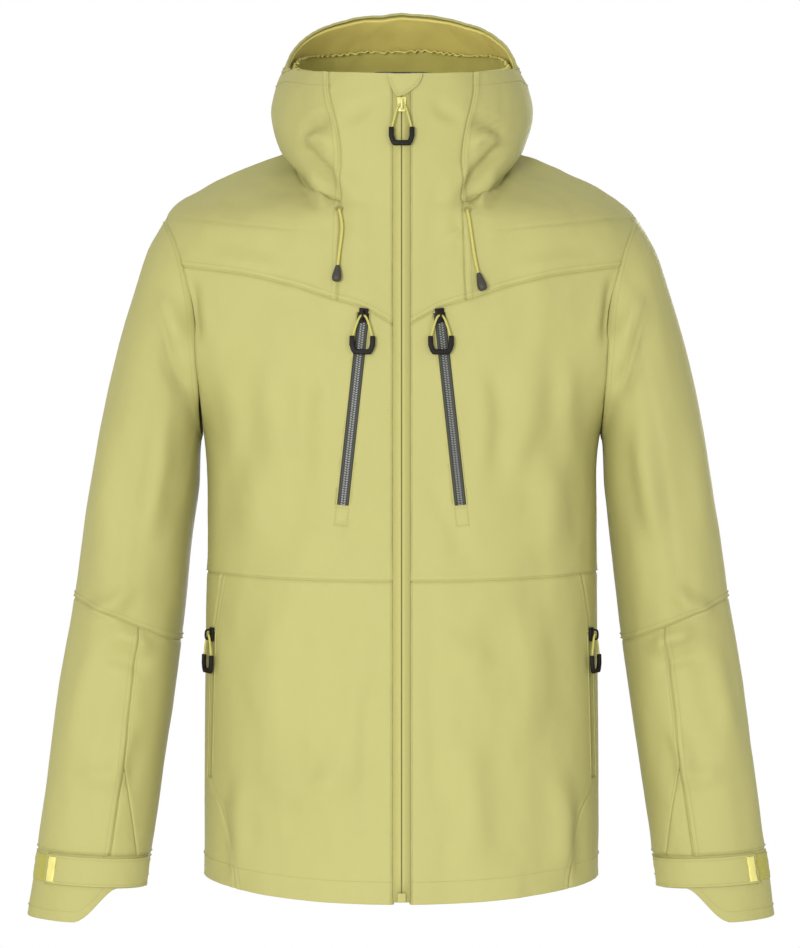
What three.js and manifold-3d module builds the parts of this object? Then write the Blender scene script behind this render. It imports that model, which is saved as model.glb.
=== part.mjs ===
// Hooded shell ski jacket, zipped up, as it hangs on a body form.
//
// Frame: millimetres, +Z up, the front of the jacket faces -Y and the wearer's left is +X.
// The origin is the hanger loop at the centre of the back neck.
//
// The garment is cut from three lofted surfaces: the trunk, the hood and a sleeve. Each sewn
// panel is the patch of one surface that lies inside its four seams, with the cloth's thickness
// given inwards. The left half is made once and mirrored for the right.

import * as THREE from 'three';
import { mergeVertices } from 'three/addons/utils/BufferGeometryUtils.js';
import Module from 'manifold-3d';

const wasm = await Module();
wasm.setup();

// ---- driving dimensions ----------------------------------------------------------------------

const CLOTH = 1.6; // shell fabric with its seam tape
const SEAM_GAP = 0.25; // each panel stops this far short of its seam
const COLLAR_TOP = 64; // height of the collar's front edge
const NECK = -64; // height of the neck seam at the centre front
const HEM = -736; // height of the hem at the centre front
const ZIP_TOP_Y = -196; // the front zip's line at the collar top
const ZIP_LEAN = 0.045; // and how far it comes forward for each mm down
const PLACKET = 8.8; // half-width of the gap between the front edges
const ARMPIT = -285; // height of the armhole's lowest point
const ARMHOLE_HEIGHT = 216;
const SLEEVE_CLEARANCE = 2; // the sleeve head starts this far outside the armhole
const LINING_DEPTH = 11; // the lining hangs this far inside the shell
const BAG_DEPTH = 3.2; // pocket bags lie this far inside the shell
const CUFF_TOP = 0.955; // share of the sleeve's length at the cuff's upper seam
const ELBOW = 0.62; // share of the sleeve's length at the elbow seam
const ZIP_GAP = 0.5; // clearance between a slider and the tape it runs on

// ---- colours ---------------------------------------------------------------------------------

const finish = (color, roughness, metalness = 0) =>
  new THREE.MeshStandardMaterial({ color, roughness, metalness });

const SHELL = finish(0xccc785, 0.75);
const TRIM = finish(0xdcd67c, 0.7);
const LINING = finish(0xb9ad62, 0.85);
const TAPE = finish(0x5c5c50, 0.7);
const GRIP = finish(0x2b2620, 0.5);
const CORD_TIP = finish(0x5f5a52, 0.5);
const SLIDER = finish(0xd8d36e, 0.35, 0.3);

// ---- interpolation ---------------------------------------------------------------------------

const lerp = THREE.MathUtils.lerp;
const smooth = THREE.MathUtils.smoothstep;
const degrees = THREE.MathUtils.degToRad;

// Blend the rows of `stations` at `v`: row = [v, value, value, ...], with rising v. Cubic, and
// never past a station's own values.
function blendStations(stations, v) {
  const last = stations.length - 1;
  let k = 0;
  while (k < last - 1 && v > stations[k + 1][0]) k += 1;
  const [a, b] = [stations[k], stations[k + 1]];
  const span = b[0] - a[0];
  const s = THREE.MathUtils.clamp((v - a[0]) / span, 0, 1);
  const slope = (row, column) =>
    (stations[row + 1][column] - stations[row][column]) / (stations[row + 1][0] - stations[row][0]);
  const tangent = (row, column) => {
    if (row === 0) return slope(0, column);
    if (row === last) return slope(last - 1, column);
    const [before, after] = [slope(row - 1, column), slope(row, column)];
    return before * after <= 0 ? 0 : (2 * before * after) / (before + after);
  };
  return a.slice(1).map((value, index) => {
    const column = index + 1;
    const [t0, t1] = [tangent(k, column) * span, tangent(k + 1, column) * span];
    const [s2, s3] = [s * s, s * s * s];
    return (2 * s3 - 3 * s2 + 1) * value + (s3 - 2 * s2 + s) * t0
      + (3 * s2 - 2 * s3) * b[column] + (s3 - s2) * t1;
  });
}

const zipLineY = (z) => ZIP_TOP_Y - ZIP_LEAN * (COLLAR_TOP - z);

// ---- the trunk and the hood ------------------------------------------------------------------
// A ring is met at the height v of its centre front. It passes through the front zip's line, a
// point on each side and one at the back: [v, half-width, side y, side z, back y, back z,
// front squareness, back squareness]. 2 is an ellipse, and more is squarer.

const TRUNK_RINGS = [
  [-760, 197.0, -95, -760, 47, -760, 2.25, 2.25],
  [-600, 196.5, -95, -600, 39, -600, 2.25, 2.25],
  [-430, 195.0, -95, -430, 32, -430, 2.25, 2.25],
  [-330, 194.6, -95, -330, 37, -330, 2.25, 2.2],
  [ARMPIT, 198.0, -95, -285, 40, -285, 2.25, 2.2],
  [-225, 229.0, -95, -225, 44, -225, 2.25, 2.2],
  [-175, 251.0, -94, -175, 46, -175, 2.25, 2.2],
  [-135, 254.0, -93, -133, 46, -133, 2.25, 2.1],
  [-110, 249.0, -91, -99, 43, -99, 2.25, 2.1],
  [-97, 240.5, -88, -74, 38, -76, 2.25, 2.0],
  [-88, 229.0, -85, -57, 33, -58, 2.3, 2.0],
  [-79, 203.0, -81, -39, 26, -39, 2.35, 2.0],
  [-71, 160.0, -78, -18, 18, -19, 2.45, 2.0],
  [NECK, 108.0, -75, 1, 10, -4, 2.6, 2.0],
];

const HOOD_RINGS = [
  [NECK, 108.0, -75, 1, 10, -4, 2.6, 2.0],
  [-40, 123.5, -76, 12, 66, -22, 2.45, 2.1],
  [0, 131.5, -77, 41, 112, 20, 2.3, 2.2],
  [36, 127.5, -76, 63, 95, 92, 2.2, 2.2],
  [COLLAR_TOP, 116.0, -75, 85.5, 20, 152.5, 2.1, 2.1],
];

// The point of the trunk or hood at `turn` degrees from the centre front and ring height `v`.
function bodyPoint(turn, v) {
  const rings = v > NECK ? HOOD_RINGS : TRUNK_RINGS;
  const [width, sideY, sideZ, backY, backZ, squareFront, squareBack] = blendStations(rings, v);
  const angle = degrees(turn);
  const cosine = Math.cos(angle);
  const power = 2 / (cosine > 0 ? squareFront : squareBack);
  const across = Math.abs(Math.sin(angle)) ** power * Math.sign(Math.sin(angle));
  const along = Math.abs(cosine) ** power;
  const endY = cosine > 0 ? zipLineY(v) : backY;
  const endZ = cosine > 0 ? v : backZ;
  return new THREE.Vector3(width * across, lerp(sideY, endY, along), lerp(sideZ, endZ, along));
}

// The turn at which ring v passes x on its front half.
function turnAcross(x, v) {
  const values = blendStations(v > NECK ? HOOD_RINGS : TRUNK_RINGS, v);
  const [width, squareness] = [values[0], values[5]];
  return THREE.MathUtils.radToDeg(Math.asin(Math.min(x / width, 1) ** (squareness / 2)));
}

const onRing = (x, v) => [turnAcross(x, v), v];

// Where a point of the front view, x from the centre and z up, lies on the trunk or hood.
function onFront(x, z) {
  let [low, high] = [HEM - 20, COLLAR_TOP];
  for (let step = 0; step < 40; step += 1) {
    const middle = (low + high) / 2;
    if (bodyPoint(turnAcross(x, middle), middle).z < z) low = middle;
    else high = middle;
  }
  return onRing(x, low);
}

// ---- the armhole and the sleeve --------------------------------------------------------------

const armholeX = (z) => {
  const rise = (z - ARMPIT) / ARMHOLE_HEIGHT;
  return 198 + 10 * rise + 28 * rise ** 4;
};

// The ring whose side point, on the shoulder line, lies at the armhole's top.
function findArmholeTop() {
  let [below, above] = [-135, -71];
  for (let step = 0; step < 40; step += 1) {
    const middle = (below + above) / 2;
    const shoulder = bodyPoint(90, middle);
    if (shoulder.x > armholeX(shoulder.z)) below = middle;
    else above = middle;
  }
  return above;
}

const ARMHOLE_TOP = findArmholeTop();

// The turn at which ring v crosses the armhole, on its front or its back half.
function armholeTurn(v, back = false) {
  let [inside, outside] = back ? [180, 90] : [0, 90];
  for (let step = 0; step < 40; step += 1) {
    const middle = (inside + outside) / 2;
    const point = bodyPoint(middle, v);
    if (point.x < armholeX(point.z)) inside = middle;
    else outside = middle;
  }
  return inside;
}

// The armhole's edge by its own angle: 0 at the shoulder, 90 in front, 180 at the armpit.
function armholePoint(angle) {
  const v = lerp(ARMPIT, ARMHOLE_TOP, (1 + Math.cos(degrees(angle))) / 2);
  return bodyPoint(armholeTurn(v, Math.sin(degrees(angle)) < 0), v);
}

// [share of length, outer x, outer z, inner x, inner z, middle y, depth in front, depth behind]
const SLEEVE_RINGS = [
  [0.0, 236, -69, 199.2, -285, -93, 68, 80],
  [0.06, 250, -90, 200.0, -289, -93, 71, 82],
  [0.14, 264, -134, 200.6, -295, -93, 74, 83],
  [0.25, 284, -200, 201.2, -306, -92, 76, 83],
  [0.36, 298.6, -270, 202.0, -330, -91, 75, 80],
  [0.48, 311, -340, 207.5, -378, -90, 70, 75],
  [ELBOW, 327.6, -447, 220.5, -490, -90, 64, 68],
  [0.74, 341.6, -535, 229, -552, -94, 58, 61],
  [0.84, 350.6, -605, 237.5, -612, -98, 54, 56],
  [CUFF_TOP, 362.6, -696, 250, -702, -103, 49, 50],
  [1.0, 367, -727, 254, -733, -105, 47, 48],
  [1.06, 372.5, -770, 259, -776, -107, 46, 47],
];
const SLEEVE_SQUARENESS = 2.1;
const HEAD_BLEND = 0.1; // the sleeve leaves the armhole's own shape over this share of its length

// The point of the left sleeve at `turn` degrees (0 outside, 90 in front, 180 next to the body)
// and share `v` of its length.
function sleevePoint(turn, v) {
  const [ox, oz, ix, iz, y, front, behind] = blendStations(SLEEVE_RINGS, v);
  const angle = degrees(turn);
  const power = 2 / SLEEVE_SQUARENESS;
  const along = Math.abs(Math.cos(angle)) ** power * Math.sign(Math.cos(angle));
  const depth = Math.abs(Math.sin(angle)) ** power * (Math.sin(angle) > 0 ? -front : behind);
  const ring = new THREE.Vector3(
    (ox + ix) / 2 + ((ox - ix) / 2) * along,
    y + depth,
    (oz + iz) / 2 + ((oz - iz) / 2) * along,
  );
  const share = 1 - smooth(v, 0, HEAD_BLEND);
  if (share === 0) return ring;
  const edge = armholePoint(turn);
  edge.x += SLEEVE_CLEARANCE;
  return ring.lerp(edge, share);
}

// ---- panels ----------------------------------------------------------------------------------

function surfaceNormal(surface, turn, v, step) {
  const across = surface(turn + 0.4, v).sub(surface(turn - 0.4, v));
  const along = surface(turn, v + step).sub(surface(turn, v - step));
  return across.cross(along).normalize();
}

const BODY = { point: bodyPoint, step: 0.2 };
const SLEEVE = { point: sleevePoint, step: 0.002 };

// An edge of a panel is a function of 0..1 that gives [turn, v].
const straight = (from, to) => (s) => [lerp(from[0], to[0], s), lerp(from[1], to[1], s)];
const chain = (first, second, share) => (s) =>
  (s < share ? first(s / share) : second((s - share) / (1 - share)));
const mirrored = (edge) => (s) => [360 - edge(s)[0], edge(s)[1]];
const reversed = (edge) => (s) => edge(1 - s);

function through(points) {
  const curve = new THREE.CatmullRomCurve3(points.map(([a, b]) => new THREE.Vector3(a, b, 0)));
  return (s) => {
    const point = curve.getPoint(s);
    return [point.x, point.y];
  };
}

// A closed solid of the patch between two edges of low and high v and two of left and right
// turn. `lift` moves it off the surface, outwards; `wrap` closes it to a tube.
function panel(surface, { low, high, left, right }, [columns, rows], options = {}) {
  const { thickness = CLOTH, lift = 0, wrap = false } = options;
  const place = (i, j, k) => {
    const [a, b] = [i / columns, j / rows];
    const across = lerp(low(a)[k], high(a)[k], b);
    const along = lerp(left(b)[k], right(b)[k], a);
    return across + along - lerp(lerp(low(0)[k], low(1)[k], a), lerp(high(0)[k], high(1)[k], a), b);
  };
  const outer = [];
  const inner = [];
  for (let j = 0; j <= rows; j += 1) {
    for (let i = 0; i <= columns; i += 1) {
      const [turn, v] = [place(i, j, 0), place(i, j, 1)];
      const normal = surfaceNormal(surface.point, turn, v, surface.step);
      const point = surface.point(turn, v);
      outer.push(point.clone().addScaledVector(normal, lift));
      inner.push(point.addScaledVector(normal, lift - thickness));
    }
  }
  const at = (i, j) => j * (columns + 1) + i;
  for (const layer of [outer, inner]) {
    const pull = (from, to) => {
      layer[from].add(layer[to].clone().sub(layer[from]).setLength(SEAM_GAP));
    };
    for (let i = 0; i <= columns; i += 1) {
      pull(at(i, 0), at(i, 1));
      pull(at(i, rows), at(i, rows - 1));
    }
    for (let j = 0; j <= rows && !wrap; j += 1) {
      pull(at(0, j), at(1, j));
      pull(at(columns, j), at(columns - 1, j));
    }
  }
  return gridSolid(outer, inner, columns, rows, wrap);
}

// Two equal grids of points joined into one closed skin.
function gridSolid(outer, inner, columns, rows, wrap) {
  const positions = [...outer, ...inner].flatMap((point) => point.toArray());
  const base = outer.length;
  const at = (i, j) => j * (columns + 1) + (wrap && i === columns ? 0 : i);
  const faces = [];
  const quad = (a, b, c, d) => faces.push(a, b, c, a, c, d);
  for (let j = 0; j < rows; j += 1) {
    for (let i = 0; i < columns; i += 1) {
      const [a, b, c, d] = [at(i, j), at(i + 1, j), at(i + 1, j + 1), at(i, j + 1)];
      quad(a, b, c, d);
      quad(base + d, base + c, base + b, base + a);
    }
  }
  for (let i = 0; i < columns; i += 1) {
    quad(at(i + 1, 0), at(i, 0), base + at(i, 0), base + at(i + 1, 0));
    quad(at(i, rows), at(i + 1, rows), base + at(i + 1, rows), base + at(i, rows));
  }
  for (let j = 0; j < rows && !wrap; j += 1) {
    quad(at(0, j), at(0, j + 1), base + at(0, j + 1), base + at(0, j));
    quad(at(columns, j + 1), at(columns, j), base + at(columns, j), base + at(columns, j + 1));
  }
  const geometry = new THREE.BufferGeometry();
  geometry.setAttribute('position', new THREE.Float32BufferAttribute(positions, 3));
  geometry.setIndex(faces);
  return geometry;
}

// ---- solids ----------------------------------------------------------------------------------

function toManifold(geometry) {
  const bare = geometry.clone();
  bare.deleteAttribute('normal');
  bare.deleteAttribute('uv');
  const merged = mergeVertices(bare, 1e-4);
  return new wasm.Manifold(new wasm.Mesh({
    numProp: 3,
    vertProperties: new Float32Array(merged.attributes.position.array),
    triVerts: new Uint32Array(merged.index.array),
  }));
}

function toGeometry(manifold) {
  const mesh = manifold.getMesh();
  const geometry = new THREE.BufferGeometry();
  geometry.setAttribute('position', new THREE.BufferAttribute(mesh.vertProperties, 3));
  geometry.setIndex(new THREE.BufferAttribute(mesh.triVerts, 1));
  return geometry;
}

const joined = (...geometries) =>
  toGeometry(geometries.map(toManifold).reduce((sum, next) => sum.add(next)));
const cut = (geometry, ...tools) =>
  toGeometry(tools.map(toManifold).reduce((rest, tool) => rest.subtract(tool), toManifold(geometry)));

const toVectors = (points) => points.map(([x, y, z]) => new THREE.Vector3(x, y, z));

// A section drawn round a circle of `sides`.
function roundSection(radius, sides = 8) {
  const shape = new THREE.Shape();
  for (let k = 0; k < sides; k += 1) {
    const angle = (2 * Math.PI * k) / sides;
    const [x, y] = [radius * Math.cos(angle), radius * Math.sin(angle)];
    if (k === 0) shape.moveTo(x, y);
    else shape.lineTo(x, y);
  }
  shape.closePath();
  return shape;
}

function tube(points, radius, steps) {
  return new THREE.ExtrudeGeometry(roundSection(radius), {
    extrudePath: new THREE.CatmullRomCurve3(toVectors(points)),
    steps,
    bevelEnabled: false,
  });
}

function polygon(points) {
  const shape = new THREE.Shape();
  points.forEach(([x, y], index) => (index ? shape.lineTo(x, y) : shape.moveTo(x, y)));
  shape.closePath();
  return shape;
}

// An outline of x and height, extruded from the front face back by `depth`.
function plate(points, depth) {
  const geometry = new THREE.ExtrudeGeometry(polygon(points), { depth, bevelEnabled: false });
  geometry.rotateX(Math.PI / 2);
  geometry.translate(0, depth, 0);
  return geometry;
}

// ---- the tree --------------------------------------------------------------------------------

const jacket = new THREE.Group();

function add(name, geometry, material, parent = jacket) {
  const mesh = new THREE.Mesh(geometry, material);
  mesh.name = name;
  parent.add(mesh);
  return mesh;
}

// A piece made on the left, and its mirror image on the right. `frame` is the left one's place.
function addPair(name, geometry, material, frame = null) {
  for (const [side, scale] of [['left', 1], ['right', -1]]) {
    const half = new THREE.Group();
    half.scale.x = scale;
    const holder = frame ? frame.clone() : half;
    if (frame) half.add(holder);
    add(`${name}_${side}`, geometry, material, holder);
    jacket.add(half);
  }
}

// ---- seams -----------------------------------------------------------------------------------

// A level round the body that stands `rise` higher at the sides than in front and behind.
const girdle = (level, rise) => (turn) => level + (rise * (1 - Math.cos(degrees(2 * turn)))) / 2;
const around = (height, from, to) => (s) => {
  const turn = lerp(from, to, s);
  return [turn, height(turn)];
};

const WAIST = -428; // height of the waist seam at the centre front
const waist = girdle(WAIST, 7);
const hem = girdle(HEM, 14);
const placket = (from, to) => (s) => onRing(PLACKET, lerp(from, to, s));

const SIDE = 90;
const BACK_SIDE = 118; // turn of the seam behind the side panel
const CROWN_SIDE = 157; // turn of the hood's crown seams
const BACK_YOKE = -150; // height of the back yoke's seam
const YOKE_LOW = -179; // height of the front yoke's point, at the placket
const NECK_BELOW = NECK - 0.25; // the yokes stop just under the neck seam
const NECK_ABOVE = NECK + 0.25; // and the hood starts just over it
const COLLAR_X = 59; // the collar seam's distance from the centre at the neck seam

const collarLow = through([onFront(63, -156), onFront(61, -105), onRing(COLLAR_X, NECK)]);
const collarHigh = through([
  onRing(COLLAR_X, NECK), onRing(59.5, -22), onRing(64, 14), onRing(71.5, COLLAR_TOP),
]);
const yokeInner = through([
  onFront(PLACKET, YOKE_LOW), onFront(26, -169.5), onFront(42, -162), onFront(63, -156),
]);
const armholeYoke = onFront(211, -121)[1];
const armhole = (from, to, back = false) => (s) => {
  const v = lerp(from, to, s);
  return [armholeTurn(v, back), v];
};
const yokeOuter = through([
  onFront(63, -156), onFront(106, -142), onFront(152, -131), onFront(192, -124.5),
  armhole(armholeYoke, armholeYoke)(0),
]);
const pocketTop = turnAcross(177, -423);
const pocketFoot = turnAcross(163, HEM);
const handZipTop = onFront(185.5, -482);
const handZipFoot = onFront(189, -622);
const pocketSeam = through([
  [pocketTop, waist(pocketTop)], onFront(182.3, -455), handZipTop, onFront(187.8, -550),
  handZipFoot, onFront(179, -652), onFront(166, -700), [pocketFoot, hem(pocketFoot)],
]);
const pocketSeamUp = reversed(pocketSeam);

// The brim is a crescent above this line, and the hood's panels end at it.
const BRIM_DEPTH = 16;
const brimLine = (turn) =>
  COLLAR_TOP - BRIM_DEPTH * smooth(Math.min(turn, 360 - turn), 70, 105);

// ---- trunk -----------------------------------------------------------------------------------

function centrePanel() {
  return panel(BODY, {
    low: yokeInner,
    high: straight(onRing(PLACKET, COLLAR_TOP), onRing(71.5, COLLAR_TOP)),
    left: chain(placket(YOKE_LOW, NECK), placket(NECK, COLLAR_TOP), 0.5),
    right: chain(collarLow, collarHigh, 0.5),
  }, [3, 12]);
}

const shoulderSeam = straight([SIDE, ARMHOLE_TOP], [SIDE, NECK_BELOW]);

function frontYoke() {
  return panel(BODY, {
    low: yokeOuter,
    high: straight(onRing(COLLAR_X, NECK_BELOW), [SIDE, NECK_BELOW]),
    left: collarLow,
    right: chain(armhole(armholeYoke, ARMHOLE_TOP), shoulderSeam, 0.5),
  }, [6, 6]);
}

function chest() {
  const yokeShare = 0.25;
  return panel(BODY, {
    low: around(waist, turnAcross(PLACKET, WAIST), SIDE),
    high: chain(yokeInner, yokeOuter, yokeShare),
    left: placket(WAIST, YOKE_LOW),
    right: chain(straight([SIDE, waist(SIDE)], [SIDE, ARMPIT]), armhole(ARMPIT, armholeYoke), 0.4),
  }, [8, 10]);
}

function frontSkirt() {
  return panel(BODY, {
    low: around(hem, turnAcross(PLACKET, HEM), pocketFoot),
    high: around(waist, turnAcross(PLACKET, WAIST), pocketTop),
    left: placket(HEM, WAIST),
    right: pocketSeamUp,
  }, [6, 7]);
}

function sidePanel() {
  return panel(BODY, {
    low: around(hem, pocketFoot, BACK_SIDE),
    high: around(waist, pocketTop, BACK_SIDE),
    left: pocketSeamUp,
    right: straight([BACK_SIDE, hem(BACK_SIDE)], [BACK_SIDE, waist(BACK_SIDE)]),
  }, [5, 7]);
}

function backYoke() {
  const edge = chain(armhole(BACK_YOKE, ARMHOLE_TOP, true), shoulderSeam, 0.5);
  const [crown, crownEnd] = [[CROWN_SIDE, NECK_BELOW], [360 - CROWN_SIDE, NECK_BELOW]];
  const neck = chain(
    straight([SIDE, NECK_BELOW], crown),
    chain(straight(crown, crownEnd), straight(crownEnd, [360 - SIDE, NECK_BELOW]), 0.4),
    0.375,
  );
  return panel(BODY, {
    low: straight(edge(0), mirrored(edge)(0)),
    high: neck,
    left: edge,
    right: mirrored(edge),
  }, [16, 6]);
}

function backPanel() {
  const edge = chain(
    straight([SIDE, waist(SIDE)], [SIDE, ARMPIT]),
    armhole(ARMPIT, BACK_YOKE, true),
    0.5,
  );
  return panel(BODY, {
    low: around(waist, SIDE, 360 - SIDE),
    high: straight(edge(1), mirrored(edge)(1)),
    left: edge,
    right: mirrored(edge),
  }, [12, 6]);
}

function backSkirt() {
  return panel(BODY, {
    low: around(hem, BACK_SIDE, 360 - BACK_SIDE),
    high: around(waist, BACK_SIDE, 360 - BACK_SIDE),
    left: straight([BACK_SIDE, hem(BACK_SIDE)], [BACK_SIDE, waist(BACK_SIDE)]),
    right: straight([360 - BACK_SIDE, hem(BACK_SIDE)], [360 - BACK_SIDE, waist(BACK_SIDE)]),
  }, [9, 5]);
}

// The lining runs from facing to facing, cut away round both armholes.
function bodyLining() {
  const [edge, foot, top, armpit] = [15, HEM + 24, -86, -300];
  const height = (turn) => {
    const fromSide = Math.abs(Math.min(turn, 360 - turn) - SIDE);
    return lerp(armpit, top, smooth(fromSide, 33, 52));
  };
  const rise = chain(straight([edge, foot], [edge, armpit]), straight([edge, armpit], [edge, top]), 0.4);
  return panel(BODY, {
    low: straight([edge, foot], [360 - edge, foot]),
    high: around(height, edge, 360 - edge),
    left: rise,
    right: mirrored(rise),
  }, [36, 5], { lift: -LINING_DEPTH, thickness: 1 });
}

function pocketBag(left, right, bottom, top) {
  const corners = [[left, bottom], [right, bottom], [left, top], [right, top]];
  const [a, b, c, d] = corners.map(([x, z]) => onFront(x, z));
  return panel(BODY, {
    low: straight(a, b), high: straight(c, d), left: straight(a, c), right: straight(b, d),
  }, [4, 4], { lift: -BAG_DEPTH, thickness: 2 });
}

// ---- hood ------------------------------------------------------------------------------------

function hoodSide() {
  return panel(BODY, {
    low: chain(
      straight(onRing(COLLAR_X, NECK_ABOVE), [SIDE, NECK_ABOVE]),
      straight([SIDE, NECK_ABOVE], [CROWN_SIDE, NECK_ABOVE]),
      0.5,
    ),
    high: chain(
      around(brimLine, turnAcross(71.5, COLLAR_TOP), SIDE),
      around(brimLine, SIDE, CROWN_SIDE),
      0.5,
    ),
    left: collarHigh,
    right: straight([CROWN_SIDE, NECK_ABOVE], [CROWN_SIDE, brimLine(CROWN_SIDE)]),
  }, [12, 6]);
}

function hoodCrown() {
  const end = 360 - CROWN_SIDE;
  return panel(BODY, {
    low: straight([CROWN_SIDE, NECK_ABOVE], [end, NECK_ABOVE]),
    high: around(brimLine, CROWN_SIDE, end),
    left: straight([CROWN_SIDE, NECK_ABOVE], [CROWN_SIDE, brimLine(CROWN_SIDE)]),
    right: straight([end, NECK_ABOVE], [end, brimLine(end)]),
  }, [4, 6]);
}

function hoodBrim() {
  const start = 80;
  const end = 360 - start;
  return panel(BODY, {
    low: around(brimLine, start, end),
    high: straight([start, COLLAR_TOP], [end, COLLAR_TOP]),
    left: straight([start, brimLine(start)], [start, COLLAR_TOP]),
    right: straight([end, brimLine(end)], [end, COLLAR_TOP]),
  }, [18, 2], { thickness: 2.4 });
}

function hoodLining() {
  const [start, foot, top] = [45, NECK + 22, COLLAR_TOP - 5];
  const end = 360 - start;
  return panel(BODY, {
    low: straight([start, foot], [end, foot]),
    high: straight([start, top], [end, top]),
    left: straight([start, foot], [start, top]),
    right: straight([end, foot], [end, top]),
  }, [20, 5], { lift: -8, thickness: 1 });
}

// A ribbon loop inside the back neck; the jacket hangs from it.
function hangerLoop() {
  const [halfWidth, halfThickness] = [4, 0.6];
  const section = polygon([
    [-halfThickness, -halfWidth], [halfThickness, -halfWidth],
    [halfThickness, halfWidth], [-halfThickness, halfWidth],
  ]);
  const path = [[-34, -2, -26], [-24, -3, -10], [0, -4, 0], [24, -3, -10], [34, -2, -26]];
  return new THREE.ExtrudeGeometry(section, {
    extrudePath: new THREE.CatmullRomCurve3(toVectors(path)),
    steps: 12,
    bevelEnabled: false,
  });
}

// ---- sleeves ---------------------------------------------------------------------------------

function upperSleeve() {
  return panel(SLEEVE, {
    low: straight([0, 0], [360, 0]),
    high: straight([0, ELBOW], [360, ELBOW]),
    left: straight([0, 0], [0, ELBOW]),
    right: straight([360, 0], [360, ELBOW]),
  }, [16, 9], { wrap: true });
}

// The forearm's seam runs down its front and splits round the gusset.
const GUSSET_TOP = 0.843;
const forearmSeam = straight([107, ELBOW], [110.5, GUSSET_TOP]);
const gussetInner = through([[110.5, GUSSET_TOP], [124, 0.89], [135, 0.925], [144, CUFF_TOP]]);
const gussetOuter = straight([110.5, GUSSET_TOP], [109.5, CUFF_TOP]);
const gussetShare = (GUSSET_TOP - ELBOW) / (CUFF_TOP - ELBOW);
const turned = (edge) => (s) => [edge(s)[0] + 360, edge(s)[1]];

function forearm() {
  return panel(SLEEVE, {
    low: straight([107, ELBOW], [467, ELBOW]),
    high: straight([144, CUFF_TOP], [469.5, CUFF_TOP]),
    left: chain(forearmSeam, gussetInner, gussetShare),
    right: turned(chain(forearmSeam, gussetOuter, gussetShare)),
  }, [16, 6]);
}

// A narrow triangle; its tip is cut off square where it gets too thin.
function cuffGusset() {
  const tip = 0.12;
  return panel(SLEEVE, {
    low: straight(gussetOuter(tip), gussetInner(tip)),
    high: straight(gussetOuter(1), gussetInner(1)),
    left: (s) => gussetOuter(lerp(tip, 1, s)),
    right: (s) => gussetInner(lerp(tip, 1, s)),
  }, [2, 4]);
}

// The cuff's end runs on over the back of the hand.
function cuff() {
  const end = (turn) => {
    const fromOutside = Math.min(turn, 360 - turn);
    return lerp(1.06, 1.0, smooth(fromOutside, 92, 118));
  };
  return panel(SLEEVE, {
    low: straight([0, CUFF_TOP], [360, CUFF_TOP]),
    high: around(end, 0, 360),
    left: straight([0, CUFF_TOP], [0, end(0)]),
    right: straight([360, CUFF_TOP], [360, end(0)]),
  }, [24, 2], { wrap: true });
}

const TAB_SEWN = 165; // turn at which the cuff tab is sewn down
const TAB_END = 12;
const TAB_TOP = CUFF_TOP + 0.003;
const TAB_FOOT = 0.998;

function cuffTab(from, to, lift, thickness) {
  return panel(SLEEVE, {
    low: straight([from, TAB_TOP], [to, TAB_TOP]),
    high: straight([from, TAB_FOOT], [to, TAB_FOOT]),
    left: straight([from, TAB_TOP], [from, TAB_FOOT]),
    right: straight([to, TAB_TOP], [to, TAB_FOOT]),
  }, [Math.ceil((to - from) / 18), 1], { lift, thickness });
}

// ---- zips ------------------------------------------------------------------------------------
// A zip's own frame has its line along z, its face towards -y and the origin at the slider.

// The group that carries the zip between two points of the trunk.
function zipFrame(top, bottom) {
  const topPoint = bodyPoint(...top);
  const bottomPoint = bodyPoint(...bottom);
  const along = topPoint.clone().sub(bottomPoint).normalize();
  const middle = [(top[0] + bottom[0]) / 2, (top[1] + bottom[1]) / 2];
  const inward = surfaceNormal(bodyPoint, ...middle, BODY.step).negate();
  inward.addScaledVector(along, -inward.dot(along)).normalize();
  const across = inward.clone().cross(along);
  const frame = new THREE.Group();
  frame.position.copy(topPoint);
  frame.quaternion.setFromRotationMatrix(new THREE.Matrix4().makeBasis(across, inward, along));
  frame.userData.length = topPoint.distanceTo(bottomPoint);
  return frame;
}

function box(width, depth, height, x, y, z) {
  const geometry = new THREE.BoxGeometry(width, depth, height);
  geometry.translate(x, y, z);
  return geometry;
}

const PULL_EYE = -5.1; // the pull's cord passes this far in front of the slider's back
const EYE_HEIGHT = -0.4; // and at this height, which is also its hinge

// The slider's plate with the arch that the pull hangs in. Its back lies at depth `face`.
function slider(face) {
  const plateDepth = 2.6;
  const body = plate([[-4.6, 7], [4.6, 7], [3.6, -7], [-3.6, -7]], plateDepth);
  body.translate(0, face - plateDepth, 0);
  const arch = box(2.6, 6.2, 10, 0, face + PULL_EYE, 0);
  const eye = box(4, 4.2, 6, 0, face + PULL_EYE, -0.5);
  return cut(joined(body, arch), eye);
}

const CORD_RADIUS = 1.1;

function pullCord(face, drop) {
  const y = face + PULL_EYE;
  return tube([
    [-9.8, y + 0.2, -drop], [-7, y, -drop * 0.6], [-4.4, y, -4.6], [-2.2, y, -1.1],
    [0, y, EYE_HEIGHT], [2.2, y, -1.1], [4.4, y, -4.6], [7, y, -drop * 0.6],
    [9.8, y + 0.2, -drop],
  ], CORD_RADIUS, 18);
}

// A moulded grip: a wide U whose arms hold the two ends of the cord.
function pullGrip(face, drop) {
  const [reach, arm, height, depth] = [12.5, 5, 18, 4];
  const grip = plate([
    [-reach, -drop], [-reach, -drop - 9], [-8.5, -drop - height], [8.5, -drop - height],
    [reach, -drop - 9], [reach, -drop], [reach - arm, -drop], [reach - arm, -drop - 8],
    [6, -drop - height + arm], [-6, -drop - height + arm], [arm - reach, -drop - 8],
    [arm - reach, -drop],
  ], depth);
  grip.translate(0, face + PULL_EYE - depth / 2 + 0.2, 0);
  return grip;
}

// ---- front zip -------------------------------------------------------------------------------

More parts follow.
